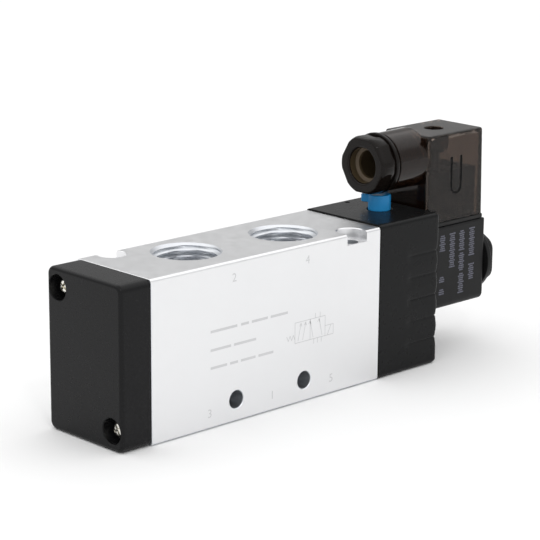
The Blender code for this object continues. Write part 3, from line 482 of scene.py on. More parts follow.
# Distances from the body's left end, and the notches' places across it.
CROSS_HOLES = (33.25 * MM, 61.65 * MM)
NOTCHES = ((10.8 * MM, 13.6 * MM), (84.2 * MM, -13.6 * MM))
NOTCH_RADIUS = 4.3 * MM
NOTCH_HOLE_RADIUS = 2.65 * MM
UNDERCUT_HALF = 3.1 * MM


def opening_centre(name):
    low, high = OPENINGS[name]
    return [(a + b) / 2 for a, b in zip(low, high)]


def thread_radius(depth, turn, length):
    """Radius of a threaded port's wall at a depth under its face and a fraction of a turn."""
    wave = (depth / THREAD_PITCH - turn) % 1.0
    ridge = min(1.0, max(0.0, 1.35 * (1 - abs(2 * wave - 1)) - 0.15))
    fade = min(1.0, max(0.0, (length - depth) / (1.2 * THREAD_PITCH)))
    wall = THREAD_MINOR + (THREAD_MAJOR - THREAD_MINOR) * ridge * fade
    mouth = PORT_MOUTH - depth * 0.95
    return max(wall, mouth)


def port_cutter(name, x, y, face_z, down, depth):
    """Threaded port; down is -1 for a port that goes down from the top face and 1 for one from below."""
    steps = 72
    rows = 8
    thread_length = depth - 1.6 * MM
    depths = [-0.6 * MM]
    count = int(depth / THREAD_PITCH * rows)
    depths += [depth * i / count for i in range(count + 1)]
    loops = []
    for d in depths:
        loop = []
        for i in range(steps):
            turn = i / steps
            radius = thread_radius(max(d, 0.0), turn, thread_length)
            angle = 2 * math.pi * turn * -down
            u = x + radius * math.cos(angle)
            v = y + radius * math.sin(angle)
            loop.append(Vector((u, v, face_z + down * d)))
        loops.append(loop)
    return skin(name, loops)


def port_places():
    """(name, x, y, face z, direction into the body, depth) of each port."""
    places = []
    for numbers, face_z, down, depth in (("24", BODY_HIGH.z, -1, 14 * MM), ("315", BODY_LOW.z, 1, 12 * MM)):
        for number in numbers:
            x, y, _ = opening_centre("port_" + number)
            places.append((number, x, y, face_z, down, depth))
    return places


PORTS = port_places()


def undercut_places():
    """X of the spool bore's five undercuts, centred between the lands."""
    middle = opening_centre("port_1")[0]
    pitch = (opening_centre("port_5")[0] - middle) / 2
    return [middle + i * pitch for i in range(-2, 3)]


def spool_bore():
    """Bore along X with its undercuts."""
    radius = 8 * MM
    undercut = 10 * MM
    profile = [(BODY_LOW.x - MM, radius)]
    for x in undercut_places():
        low = x - UNDERCUT_HALF
        high = x + UNDERCUT_HALF
        profile += [(low, radius), (low, undercut), (high, undercut), (high, radius)]
    profile.append((BODY_HIGH.x + MM, radius))
    return turned("bore", profile, SPOOL_AXIS, "X", 48)


def port_slots():
    """Slots that join each port to its undercut, the bottom ports' and the top ports' by turns."""
    half_y = 4 * MM
    slots = []
    for i, x in enumerate(undercut_places()):
        top = i % 2 == 1
        low_z = SPOOL_AXIS.z + 6 * MM if top else BODY_LOW.z + 11 * MM
        high_z = BODY_HIGH.z - 13 * MM if top else SPOOL_AXIS.z - 6 * MM
        low = (x - UNDERCUT_HALF, -half_y, low_z)
        slots.append(box_solid(f"slot_{i}", low, (x + UNDERCUT_HALF, half_y, high_z)))
    return joined("slots", slots)


def countersunk(name, centre_point, axis, start, end, radius, edge):
    """Through hole whose two mouths are broken by a small chamfer."""
    profile = (
        (start - MM, radius + edge),
        (start, radius + edge),
        (start + edge, radius),
        (end - edge, radius),
        (end, radius + edge),
        (end + MM, radius + edge),
    )
    return turned(name, profile, centre_point, axis, 40)


def body_holes():
    """Cross holes, the two notches with their screw holes, and the blind holes in the end faces."""
    holes = []
    for x in CROSS_HOLES:
        place = (BODY_LOW.x + x, 0.0, BODY_LOW.z + 7 * MM)
        holes.append(countersunk("cross_hole", place, "Y", BODY_LOW.y, BODY_HIGH.y, 2.8 * MM, 0.2 * MM))
    floor = BODY_HIGH.z - 3.5 * MM
    notch_mouths = []
    for x, y in NOTCHES:
        place = (BODY_LOW.x + x, y, 0.0)
        profile = (
            (BODY_LOW.z - MM, NOTCH_HOLE_RADIUS),
            (floor, NOTCH_HOLE_RADIUS),
            (floor, NOTCH_RADIUS),
            (BODY_HIGH.z - MOUTH_EDGE, NOTCH_RADIUS),
            (BODY_HIGH.z, NOTCH_RADIUS + MOUTH_EDGE),
            (BODY_HIGH.z + MM, NOTCH_RADIUS + MOUTH_EDGE),
        )
        holes.append(turned("notch", profile, place, "Z", 64))
        side = sorted((y, math.copysign(BODY_HIGH.y + MM, y)))
        mouth_low = (place[0] - NOTCH_RADIUS, side[0], floor)
        mouth_high = (place[0] + NOTCH_RADIUS, side[1], BODY_HIGH.z + MM)
        notch_mouths.append(box_solid("notch_mouth", mouth_low, mouth_high))
    depth = 5.5 * MM
    for part, start, end in (
        ("end_cap_screw_", BODY_LOW.x - MM, BODY_LOW.x + depth),
        ("pilot_screw_", BODY_HIGH.x - depth, BODY_HIGH.x + MM),
    ):
        for label in ("upper", "lower"):
            profile = ((start, TAPPED_RADIUS), (end, TAPPED_RADIUS))
            holes.append(turned(part + label, profile, centre(part + label), "X", 24))
    return joined("holes", holes), joined("notch_mouths", notch_mouths)


def inside_port(point):
    """Whether a point lies in a port's wall, or inside the body clear of its outer faces."""
    for _, x, y, face_z, _, depth in PORTS:
        near = math.hypot(point.x - x, point.y - y) < PORT_MOUTH + 0.05 * MM
        if near and 0.02 * MM < abs(point.z - face_z) < depth + 0.1 * MM:
            return True
    return abs(point.y) < BODY_HIGH.y - 0.05 * MM and 0.05 * MM < point.z < BODY_HIGH.z - 3.6 * MM


def make_valve_body():
    edge = 1.0 * MM
    chamfer = 0.15 * MM

    def outline(inset):
        low = (BODY_LOW.y + inset, BODY_LOW.z + inset)
        high = (BODY_HIGH.y - inset, BODY_HIGH.z - inset)
        return rounded_outline(low[0], high[0], low[1], high[1], edge - inset)

    body = chamfered("body_block", BODY_LOW.x, BODY_HIGH.x, chamfer, outline, "X")
    boolean(body, spool_bore())
    boolean(body, port_slots())
    holes, notch_mouths = body_holes()
    boolean(body, holes)
    boolean(body, notch_mouths)
    boolean(body, joined("ports", [port_cutter("port_" + number, *place) for number, *place in PORTS]))
    finish(body, "valve", "body_aluminium", "valve_body", angle=28)
    body.data.materials.append(MATERIALS["turned_aluminium"])
    for face in body.data.polygons:
        face.material_index = int(inside_port(face.center))


# ---------------- end cap and screws


def screw_pocket(name, centre_point, mouth, floor, shank_end, pocket):
    """Round pocket for a screw head, with the clearance hole behind it."""
    out = math.copysign(MM, mouth - floor)
    lip = math.copysign(MOUTH_EDGE, mouth - floor)
    profile = (
        (mouth + out, pocket + MOUTH_EDGE),
        (mouth, pocket + MOUTH_EDGE),
        (mouth - lip, pocket),
        (floor, pocket),
        (floor, TAPPED_RADIUS),
        (shank_end, TAPPED_RADIUS),
    )
    return turned(name, profile, centre_point, "X", 48)


def ring_groove(start, end, inner, outer):
    """Ring round the spool's axis that cuts a seal's groove."""
    profile = ((start, inner), (end, inner), (end, outer), (start, outer))
    return turned("seal_groove", profile, SPOOL_AXIS, "X", 64, closed=True)


def make_end_cap():
    low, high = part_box("end_cap")
    edge = 1.2 * MM
    corner = 2.5 * MM

    def outline(inset):
        return rounded_outline(low.y + inset, high.y - inset, low.z + inset, high.z - inset, corner - inset)

    cap = lofted("cap_shell", [(high.x, outline(0.0))] + rounded_end(low.x, -edge, outline), "X")
    pocket = ((high.x - 8.5 * MM, 5.4 * MM), (high.x + MM, 5.4 * MM))
    boolean(cap, turned("spring_pocket", pocket, SPOOL_AXIS, "X", 40))
    groove_floor = high.x - 1.5 * MM
    boolean(cap, ring_groove(groove_floor, high.x + MM, 9.6 * MM, 11.4 * MM))
    pockets = []
    for label in ("upper", "lower"):
        place = centre("end_cap_screw_" + label)
        floor = low.x + 4.6 * MM
        pockets.append(screw_pocket(label, place, low.x, floor, high.x + MM, 3.9 * MM))
    boolean(cap, joined("pockets", pockets))
    finish(cap, "valve", "black_plastic", "end_cap")


def cross_recess(reach, half, arm):
    """Outline of a cross recess."""
    outline = (
        (half, half), (half, reach), (-half, reach), (-half, half),
        (-reach, half), (-reach, -half), (-half, -half), (-half, -reach),
        (half, -reach), (half, -half), (reach, -half), (reach, half),
    )
    return [(u * arm, v * arm) for u, v in outline]


def make_screw(name, node, axis, top_first, head_radius, spin, look):
    """Pan-head cross-recessed screw in its node's box; top_first says its head is at the low end."""
    head_height = 2 * MM
    low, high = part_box(node)
    place = centre(node)
    along = FACE_PLANES[axis][2]
    top = low[along] if top_first else high[along]
    tip = high[along] if top_first else low[along]
    inward = 1.0 if top_first else -1.0
    base = top + inward * head_height
    shank = head_radius * 0.62
    line = (
        (tip, 0.0, 0.0),
        (tip, shank * 0.7, 0.0),
        (tip - inward * 0.5 * MM, shank * 0.95, 0.1 * MM),
        (base, shank * 0.95, 0.1 * MM),
        (base, head_radius, 0.12 * MM),
        (base - inward * head_height * 0.35, head_radius, 0.5 * head_radius),
        (top, head_radius * 0.55, 0.3 * head_radius),
        (top, 0.0, 0.0),
    )
    screw = turned_line(name, line, place, axis, 48)
    loops = []
    first, second, _ = FACE_PLANES[axis]
    for depth, arm in ((-0.4, 1.15), (0.15, 1.0), (0.75, 0.62), (0.95, 0.30)):
        loop = []
        for u, v in cross_recess(0.56 * head_radius, 0.11 * head_radius, arm):
            across = place[first] + (u * math.cos(spin) - v * math.sin(spin))
            up = place[second] + (u * math.sin(spin) + v * math.cos(spin))
            loop.append(oriented(across, up, top + inward * depth * head_height, axis))
        loops.append(loop)
    boolean(screw, skin("recess", loops))
    finish(screw, "valve", "plated_steel", node, look=look, angle=30)


def make_screws():
    head = 3.1 * MM
    for label, spin in (("upper", 0.55), ("lower", 1.05)):
        make_screw("cap_screw_" + label, "end_cap_screw_" + label, "X", True, head, spin, None)
        make_screw("end_screw_" + label, "pilot_screw_" + label, "X", False, head, spin + 0.4, None)
    # The fixing screw takes dark steel in place of its plating: painted shade down the connector's hole.
    make_screw("fixing_screw", "plug_screw", "Z", False, 2.9 * MM, 0.6, "painted_shade_steel")


# ---------------- pilot body


PILOT_EDGE = 1.5 * MM
OVERRIDE_AXIS = centre("override_seal")


def rib_inset(z, low_z):
    """How far the ribbed sides draw in at a height: shallow waves, each valley with a narrow groove."""
    first_groove = low_z + 8.9 * MM
    pitch = 7.3 * MM
    last_groove = first_groove + 4 * pitch
    if z < first_groove - pitch / 2 or z > last_groove + pitch / 2:
        return 0.0
    phase = (z - first_groove) / pitch
    wave = 0.5 + 0.5 * math.cos(2 * math.pi * phase)
    offset = (phase - round(phase)) * pitch
    groove = math.exp(-((offset / (0.28 * MM)) ** 2))
    return 0.14 * MM * wave + 0.16 * MM * groove


def edge_inset(z, low_z, high_z, radius):
    """Inset that rounds a top and a bottom edge."""
    reach = min(z - low_z, high_z - z)
    if reach >= radius:
        return 0.0
    return radius - math.sqrt(max(0.0, radius**2 - (radius - reach) ** 2))


def pilot_outline(z, low, high):
    """Plan outline of the pilot body at a height, ribbed from some way along its sides."""
    edge = edge_inset(z, low.z, high.z, PILOT_EDGE)
    rib = rib_inset(z, low.z)
    rib_start = low.x + 13.0 * MM
    half = high.y - edge
    right = high.x - edge - 2.2 * rib
    corner = 1.4 * MM
    columns = 24
    front = []
    for i in range(columns + 1):
        x = low.x + (right - corner - low.x) * i / columns
        ramp = min(1.0, max(0.0, (x - rib_start) / (1.2 * MM)))
        front.append((x, -half + rib * ramp * ramp * (3 - 2 * ramp)))
    arc = []
    for i in range(1, 8):
        angle = 0.5 * math.pi * i / 8
        x = right - corner * (1 - math.sin(angle))
        arc.append((x, -half + rib + corner * (1 - math.cos(angle))))
    lower = front + arc + [(right, -half + rib + corner)]
    return lower + [(x, -y) for x, y in reversed(lower)]


def pilot_heights(low, high):
    heights = [low.z + PILOT_EDGE * (1 - math.cos(0.5 * math.pi * i / 8)) for i in range(8)]
    count = 160
    start = low.z + PILOT_EDGE
    end = high.z - PILOT_EDGE
    middle = [start + (end - start) * i / count for i in range(count + 1)]
    return heights + middle + [low.z + high.z - z for z in reversed(heights)]


def make_pilot_body():
    low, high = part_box("pilot_body")
    sections = [(z, pilot_outline(z, low, high)) for z in pilot_heights(low, high)]
    pilot = lofted("pilot_shell", sections, "Z")
    bore = ((low.x - MM, 12 * MM), (low.x + 13 * MM, 12 * MM))
    boolean(pilot, turned("piston_bore", bore, SPOOL_AXIS, "X", 64))
    socket = ((low.x + 18.5 * MM, 6.5 * MM), (high.x + MM, 6.5 * MM))
    boolean(pilot, turned("socket", socket, centre("armature_tube"), "X", 48))
    boolean(pilot, ring_groove(low.x - MM, low.x + 1.5 * MM, 13.1 * MM, 14.9 * MM))
    pockets = []
    for label in ("upper", "lower"):
        place = centre("pilot_screw_" + label)
        pockets.append(screw_pocket(label, place, high.x, high.x - 3 * MM, low.x - MM, 4 * MM))
    boolean(pilot, joined("pockets", pockets))
    stem = (
        (low.z + 36.2 * MM, 3.5 * MM),
        (high.z - 2 * MM, 3.5 * MM),
        (high.z - 2 * MM, 4.1 * MM),
        (high.z - 0.2 * MM, 4.1 * MM),
        (high.z, 4.3 * MM),
        (high.z + MM, 4.3 * MM),
    )
    boolean(pilot, turned("override_bore", stem, OVERRIDE_AXIS, "Z", 48))
    vent = (
        (high.z - 1.2 * MM, 0.2 * MM),
        (high.z - 0.9 * MM, 0.8 * MM),
        (high.z - 0.2 * MM, 0.8 * MM),
        (high.z, 1.0 * MM),
        (high.z + MM, 1.0 * MM),
    )
    boolean(pilot, turned("vent", vent, (OVERRIDE_AXIS.x - 0.9 * MM, 13.6 * MM, 0.0), "Z", 24))
    finish(pilot, "valve", "black_plastic", "pilot_body", look="pilot_plastic")


def make_knob():
    """Override head with its finger lever, driver slot, sealed shank and pin."""
    low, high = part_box("override_knob")
    head = 3.7 * MM
    shank = 3.2 * MM
    neck = 2.2 * MM
    base = high.z - 5.2 * MM
    line = (
        (low.z, 0.0, 0.0),
        (low.z, MM, 0.0),
        (low.z + 7 * MM, MM, 0.1 * MM),
        (low.z + 7 * MM, shank, 0.2 * MM),
        (low.z + 11 * MM, shank, 0.1 * MM),
        (low.z + 11 * MM, neck, 0.1 * MM),
        (low.z + 13 * MM, neck, 0.1 * MM),
        (low.z + 13 * MM, shank, 0.1 * MM),
        (base, shank, 0.1 * MM),
        (base, head, 0.2 * MM),
        (high.z, head, 0.5 * MM),
        (high.z, 0.0, 0.0),
    )
    knob = turned_line("knob_shell", line, OVERRIDE_AXIS, "Z", 64)

    def lever_outline(inset):
        half = 1.6 * MM - inset
        tip = -6 * MM + inset
        line = ((tip, -half, MM), (0.0, -half, 0.0), (0.0, half, 0.0), (tip, half, MM))
        return softened(line, 6, closed=True)

    lever = chamfered("lever", high.z - 2.8 * MM, high.z - 0.2 * MM, 0.25 * MM, lever_outline, "Z")
    slot = box_solid("slot", (-3 * MM, -0.4 * MM, high.z - 0.8 * MM), (3 * MM, 0.4 * MM, high.z + MM))
    turn = Matrix.Translation((OVERRIDE_AXIS.x, OVERRIDE_AXIS.y, 0.0)) @ Matrix.Rotation(LEVER_TURN, 4, "Z")
    lever.data.transform(turn)
    slot.data.transform(turn)
    boolean(knob, lever, "UNION")
    boolean(knob, slot)
    finish(knob, "override_knob", "blue_plastic", "override_knob")


# ---------------- coil


def make_coil():
    low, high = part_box("coil")
    axis = centre("armature_tube")
    edge = 1.2 * MM

    def outline(inset):
        under = 2.6 * MM - inset
        over = max(0.9 * MM - inset, 0.2 * MM)
        line = (
            (low.y + inset, low.z + inset, under),
            (high.y - inset, low.z + inset, under),
            (high.y - inset, high.z - inset * 0.4, over),
            (low.y + inset, high.z - inset * 0.4, over),
        )
        return softened(line, 8, closed=True)

    sections = [(low.x, outline(0.3 * MM)), (low.x + 0.3 * MM, outline(0.0))]
    coil = lofted("coil_block", sections + rounded_end(high.x, edge, outline), "X")
    winding_low, winding_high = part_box("coil_winding")
    start = winding_low.x - 0.3 * MM
    end = winding_high.x + 0.3 * MM
    narrow = 5 * MM
    wide = 9.3 * MM
    bore = (
        (low.x - MM, narrow),
        (start, narrow),
        (start, wide),
        (end, wide),
        (end, narrow),
        (high.x + MM, narrow),
    )
    boolean(coil, turned("coil_bore", bore, axis, "X", 48))
    slots = []
    for label in ("1", "2", "earth"):
        blade_low, blade_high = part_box("coil_terminal_" + label)
        gap = Vector((0.3, 0.3, 0.3)) * MM
        top = Vector((blade_high.x, blade_high.y, high.z))
        slots.append(box_solid("slot_" + label, blade_low - gap, top + gap * 3))
    screw = centre("plug_screw")
    thread = ((high.z - 3.5 * MM, 1.8 * MM), (high.z + MM, 1.8 * MM))
    slots.append(turned("thread", thread, screw, "Z", 24))
    boolean(coil, joined("slots", slots))
    finish(coil, "valve", "coil_plastic", "coil")


def make_coil_print():
    """Generic pale bars where a coil carries its printed data: four columns of broken strokes."""
    low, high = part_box("coil")
    front = low.y - 0.01 * MM
    size = high - low
    columns = (
        (0.275, 0.90, ((0.0, 0.22), (0.50, 0.585), (0.65, 0.735))),
        (0.44, 0.905, ((0.0, 0.43),)),
        (0.60, 0.91, ((0.0, 0.25), (0.27, 0.50), (0.52, 0.78))),
        (0.77, 0.92, ((0.0, 0.36), (0.44, 0.64))),
    )
    width = 2.9 * MM
    strokes = []
    for share_x, share_z, runs in columns:
        x = low.x + share_x * size.x
        top = low.z + share_z * size.z
        for start, end in runs:
            strokes += stroke_rows(x, top - end * size.z, top - start * size.z, width, front)
    finish(joined("coil_print", strokes), "valve", "coil_plastic", look="pad_print")


def stroke_rows(x, low_z, high_z, width, front):
    """Short bars side by side, filling a height range."""
    pitch = 0.70 * MM
    bar = 0.46 * MM
    count = max(1, int((high_z - low_z) / pitch))
    rows = []
    for i in range(count):
        z = high_z - (i + 0.5) * pitch
        reach = width / 2 * (0.80 + 0.20 * math.cos(2.4 * i + 700 * x))
        low = (x - reach, front, z - bar / 2)
        rows.append(box_solid(f"row_{i}", low, (x + reach, front + 0.03 * MM, z + bar / 2)))
    return rows


def make_coil_nut():
    """Nut with a thin round flange and a soft hexagon."""
    low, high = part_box("coil_nut")
    axis = centre("coil_nut")
    flange = 11.8 * MM
    flange_end = low.x + 2 * MM
    line = (
        (low.x, 0.0, 0.0),
        (low.x, flange, 0.25 * MM),
        (flange_end - 0.3 * MM, flange, 0.5 * MM),
        (flange_end, 11.1 * MM, 0.3 * MM),
        (flange_end, 0.0, 0.0),
    )
    nut = turned_line("nut_shell", line, axis, "X", 96)
    hexagon = rounded_hexagon(11.4 * MM, 4.5 * MM, 8, math.radians(30))
    sections = []
    for x, share in (
        (low.x + MM, 1.0),
        (high.x - 0.9 * MM, 1.0),
        (high.x - 0.35 * MM, 0.985),
        (high.x, 0.95),
    ):
        sections.append((x, [(axis.y + u * share, axis.z + v * share) for u, v in hexagon]))
    boolean(nut, lofted("hexagon", sections, "X"), "UNION")
    seat = 7.2 * MM
    tube = 4.9 * MM
    bore = (
        (low.x - MM, seat),
        (low.x + 1.2 * MM, seat),
        (low.x + 1.2 * MM, tube),
        (high.x - 0.5 * MM, tube),
        (high.x, 5.4 * MM),
        (high.x + MM, 5.4 * MM),
    )
    boolean(nut, turned("nut_bore", bore, axis, "X", 48))
    finish(nut, "valve", "coil_plastic", "coil_nut")


# ---------------- plug connector


def latch_outline(middle_x, low_z, high_z, half, line):
    """Outline of a thin U: down one side, round the bottom and up, then back inside."""
    steps = 12
    rounds = []
    for radius in (half, half - line):
        angles = [math.pi * (1 + i / steps) for i in range(steps + 1)]
        middle_z = low_z + half
        rounds.append([(middle_x + radius * math.cos(a), middle_z + radius * math.sin(a)) for a in angles])
    outer, inner = rounds
    left_top = [(middle_x - half, high_z)]
    right_top = [(middle_x + half, high_z), (middle_x + half - line, high_z)]
    return left_top + outer + right_top + inner[::-1] + [(middle_x - half + line, high_z)]


def make_plug_housing():
    low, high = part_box("plug_housing")
    gland = centre("gland_nut")
    screw = centre("plug_screw")
    half = 10 * MM
    start_x = high.x - 28 * MM
    top = low.z + 29.2 * MM
    wall = 1.8 * MM
    corner = 1.2 * MM
    draft = 0.7 * MM

    def outline(inset, lean=draft):
        left = start_x + inset + lean
        right = high.x - inset - lean
        return rounded_outline(left, right, -half + inset, half - inset, corner - inset)

    sections = [(low.z, outline(0.0, 0.0))] + rounded_end(top, 0.9 * MM, outline)
    housing = lofted("plug_shell", sections, "Z")
    boss_line = (
        (low.x, 7.0 * MM, 0.0),
        (low.x, 9.5 * MM, 0.3 * MM),
        (start_x + wall, 9.7 * MM, 0.5 * MM),
        (start_x + wall, 7.0 * MM, 0.0),
    )
    boolean(housing, turned("boss", softened(boss_line), gland, "X", 96), "UNION")
    inside_low = (start_x + wall, -half + wall, low.z - MM)
    inside_high = (high.x - wall, half - wall, top - wall)
    boolean(housing, box_solid("inside", inside_low, inside_high))
    column = ((top - 6.4 * MM, 4.4 * MM), (top - 0.5 * MM, 4.4 * MM))
    boolean(housing, turned("column", column, screw, "Z", 48), "UNION")
    entry = (
        (low.x - MM, 7.6 * MM),
        (start_x - 0.8 * MM, 7.6 * MM),
        (start_x - 0.8 * MM, 6.0 * MM),
        (start_x + wall + MM, 6.0 * MM),
    )
    boolean(housing, turned("entry", entry, gland, "X", 64))
    hole = 3.2 * MM
    way = (
        (top - 7.4 * MM, 1.9 * MM),
        (top - 3.6 * MM, 1.9 * MM),
        (top - 3.6 * MM, hole),
        (top - MOUTH_EDGE, hole),
        (top, 3.45 * MM),
        (top + MM, 3.45 * MM),
    )
    boolean(housing, turned("way", way, screw, "Z", 48))
    line = 0.7 * MM
    latch = latch_outline(screw.x + 0.5 * MM, low.z + 8.6 * MM, low.z + 21.2 * MM, 2.7 * MM, line)
    groove_floor = -half + line
    boolean(housing, lofted("latch", ((-half - MM, latch), (groove_floor, latch)), "Y"))
    finish(housing, "valve", "smoke_plastic", "plug_housing")
    # Further looks: the boss's darker plastic, black rubber in the latch's groove as a painted shade line, and
    # near-black plastic on the screw hole's wall as painted shade.
    for look in ("boss_plastic", "rubber_seal", "gland_plastic"):
        housing.data.materials.append(MATERIALS[look])
    for face in housing.data.polygons:
        middle = face.center
        # The wall of the screw's hole takes the near-black gland finish: painted shade down the hole.
        if middle.z < top - 0.3 * MM and math.hypot(middle.x - screw.x, middle.y - screw.y) < hole + 0.1 * MM:
            face.material_index = 3
        if middle.x < start_x + wall and math.hypot(middle.y - gland.y, middle.z - gland.z) < 9.8 * MM:
            face.material_index = 1
        # The latch's groove takes the black rubber finish: a painted shade line, since the groove is the housing's
        # own plastic.
        in_groove = -half + 0.05 * MM < middle.y < groove_floor + 0.05 * MM
        if in_groove and abs(middle.x - screw.x) < 4 * MM and abs(middle.z - low.z - 15 * MM) < 7.5 * MM:
            face.material_index = 2


def make_gasket():
    """Flat rubber frame under the connector."""
    low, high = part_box("plug_gasket")

    def outline(inset):
        return rounded_outline(low.x + inset, high.x - inset, low.y + inset, high.y - inset, 1.6 * MM - inset)

    gasket = chamfered("seam_gasket", low.z, high.z, 0.2 * MM, outline, "Z")
    inside = Vector((2.6, 2.2, 0.0)) * MM
    above = Vector((0.0, 0.0, MM))
    boolean(gasket, box_solid("opening", low + inside - above, high - inside + above))
    finish(gasket, "valve", "rubber_seal", "plug_gasket")


def make_gland_nut():
    low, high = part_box("gland_nut")
    axis = centre("gland_nut")
    flange = 9.9 * MM
    flange_end = low.x + 8.3 * MM
    flange_start = low.x + 6.3 * MM
    wall = 5.7 * MM
    line = (
        (low.x + MM, 7 * MM, 0.0),
        (flange_start, 7 * MM, 0.0),
        (flange_start, flange, 0.5 * MM),
        (flange_end - 0.6 * MM, flange, 0.3 * MM),
        (flange_end - 0.6 * MM, 9.2 * MM, 0.1 * MM),
        (flange_end, 9.2 * MM, 0.1 * MM),
        (flange_end, 7.3 * MM, 0.0),
        (high.x - 0.4 * MM, 7.3 * MM, 0.1 * MM),
        (high.x, 6.9 * MM, 0.0),
    )
    nut = turned("gland_shell", softened(line), axis, "X", 96)
    hexagon = rounded_hexagon(10.5 * MM, 4.4 * MM, 10)
    sections = []
    for depth, share, reach in (
        (0.0, 0.925, 8.6),
        (0.2, 0.96, 8.95),
        (0.6, 0.985, 9.3),
        (1.2, 1.0, 9.6),
        (2.4, 1.0, 9.9),
        (4.6, 1.0, 9.9),
        (5.4, 1.0, 9.5),
        (6.7, 1.0, 9.2),
    ):
        loop = []
        for u, v in hexagon:
            kept = min(share, reach * MM / math.hypot(u, v))
            loop.append((axis.y + u * kept, axis.z + v * kept))
        sections.append((low.x + depth * MM, loop))
    boolean(nut, lofted("hexagon", sections, "X"), "UNION")
    lip = low.x + 3.2 * MM
    bore = (
        (low.x - MM, 6.5 * MM),
        (low.x, 6.5 * MM),
        (low.x + 0.3 * MM, 6.0 * MM),
        (low.x + 0.8 * MM, wall),
        (lip, wall),
        (lip + 0.5 * MM, 4.6 * MM),
        (lip + 1.3 * MM, 4.4 * MM),
        (lip + 1.3 * MM, wall),
        (high.x + MM, wall),
    )
    boolean(nut, turned("mouth", bore, axis, "X", 64))
    finish(nut, "valve", "smoke_plastic", "gland_nut", look="gland_plastic")
    # Inside the mouth: painted amber glow of light through the plastic, and a painted highlight on the lip's rim.
    nut.data.materials.append(MATERIALS["painted_glow_amber"])
    nut.data.materials.append(MATERIALS["painted_highlight_lip"])
    for face in nut.data.polygons:
        off_axis = math.hypot(face.center.y - axis.y, face.center.z - axis.z)
        inside = off_axis < wall + 0.05 * MM and face.center.x > low.x + 0.5 * MM
        on_lip = lip - 0.1 * MM < face.center.x < lip + 0.6 * MM
        face.material_index = (2 if on_lip else 1) if inside else 0


# ---------------- springs


def make_springs():
    """The three coil springs, each a copy of its CAD node's mesh in stainless steel."""
    for joint in frame["joints"]:
        for row in joint.get("deforming_nodes", []):
            node = row["node"]
            spring = add_object(node + "_coil", frame["nodes"][node].data.copy())
            finish(spring, "valve", "stainless_steel", node)
            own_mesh(spring)


# ---------------- marks on the body


def make_port_numbers():
    """Port numbers, etched low on the front for the underside ports and high for the top ones."""
    height = 2.7 * MM
    font_size = height * 1.38
    places = (("3", 22.5, 4.8), ("1", 48.1, 5.0), ("5", 73.4, 5.1), ("2", 32.3, 44.8), ("4", 62.7, 45.0))
    for text, x, z in places:
        curve = bpy.data.curves.new("digit", "FONT")
        curve.body = text
        curve.size = font_size
        curve.align_x = curve.align_y = "CENTER"
        curve.extrude = MARK_RELIEF
        curve.resolution_u = 6
        helper = add_object("digit", curve)
        helper.rotation_euler = (math.radians(90), 0.0, 0.0)
        helper.location = (BODY_LOW.x + x * MM, BODY_LOW.y, z * MM)
        mesh = evaluated_mesh(helper)
        mesh.transform(helper.matrix_world)
        bpy.data.objects.remove(helper)
        finish(add_object("port_mark_" + text, mesh), "valve", "body_aluminium", look="etched_mark")


def strip(name, start, end, width):
    """Thin bar on the front face between two (x, z) points, in millimetres from the body's corner."""
    a = Vector(start) * MM
    b = Vector(end) * MM
    across = Vector((a.y - b.y, b.x - a.x)).normalized() * width * MM / 2
    outline = [a + across, a - across, b - across, b + across]
    outline = [(BODY_LOW.x + p.x, BODY_LOW.z + p.y) for p in outline]
    return lofted(name, ((BODY_LOW.y - MARK_RELIEF, outline), (BODY_LOW.y + MARK_RELIEF, outline)), "Y")


def make_data_bars():
    """Plain etched bars in the place of the body's lines of data."""
    rows = (
        (30.0, ((22.8, 33.5), (35.0, 38.2), (39.4, 46.0), (47.2, 54.4))),
        (24.3, ((22.8, 31.0), (32.2, 41.2))),
        (18.8, ((22.8, 29.4), (30.6, 33.8), (35.0, 41.0), (42.2, 48.4))),
    )
    bars = [strip("bar", (start, z), (end, z), 0.8) for z, runs in rows for start, end in runs]
    finish(joined("data_bars", bars), "valve", "body_aluminium", look="etched_mark")


def make_symbol():
    """Circuit symbol of a 5/2-way valve: two boxes with flow arrows, a spring and a solenoid."""
    left = 57.5
    side = 6.5
    bottom = 19.5
    top = bottom + side
    line = 0.22
    marks = []

    def stroke(start, end):
        marks.append(strip("stroke", start, end, line))

    for i in range(3):
        stroke((left + i * side, bottom), (left + i * side, top))
    stroke((left, bottom), (left + 2 * side, bottom))
    stroke((left, top), (left + 2 * side, top))
    for offset, starts, lean in ((0.0, (1.3, 3.3), 1.0), (side, (1.3, 5.2), -1.0)):
        for x in starts:
            foot = (left + offset + x, bottom + 0.5)
            head = (left + offset + x + lean * 1.3, top - 0.5)
            stroke(foot, head)
            stroke(head, (head[0] - 0.7, head[1] - 0.9))
            stroke(head, (head[0] + 0.3, head[1] - 1.1))
    zigzag = [(left - 0.7 * i, bottom + 1.2 + (1.6 if i % 2 else 0.0)) for i in range(6)]
    for first, second in zip(zigzag, zigzag[1:]):
        stroke(first, second)
    coil_left = left + 2 * side
    coil_right = coil_left + 3.6
    coil_top = bottom + 3.2
    stroke((coil_left, coil_top), (coil_right, coil_top))
    stroke((coil_right, coil_top), (coil_right, bottom))
    stroke((coil_left, bottom), (coil_right, bottom))
    stroke((coil_left + 1.0, bottom), (coil_left + 2.6, coil_top))
    for x in (1.6, 3.25, 4.9):
        stroke((left + side + x, bottom), (left + side + x, bottom - 1.6))
    for x in (2.3, 4.3):
        stroke((left + side + x, top), (left + side + x, top + 1.6))
    finish(joined("circuit_symbol", marks), "valve", "body_aluminium", look="etched_mark")


# ---------------- carried-over CAD nodes


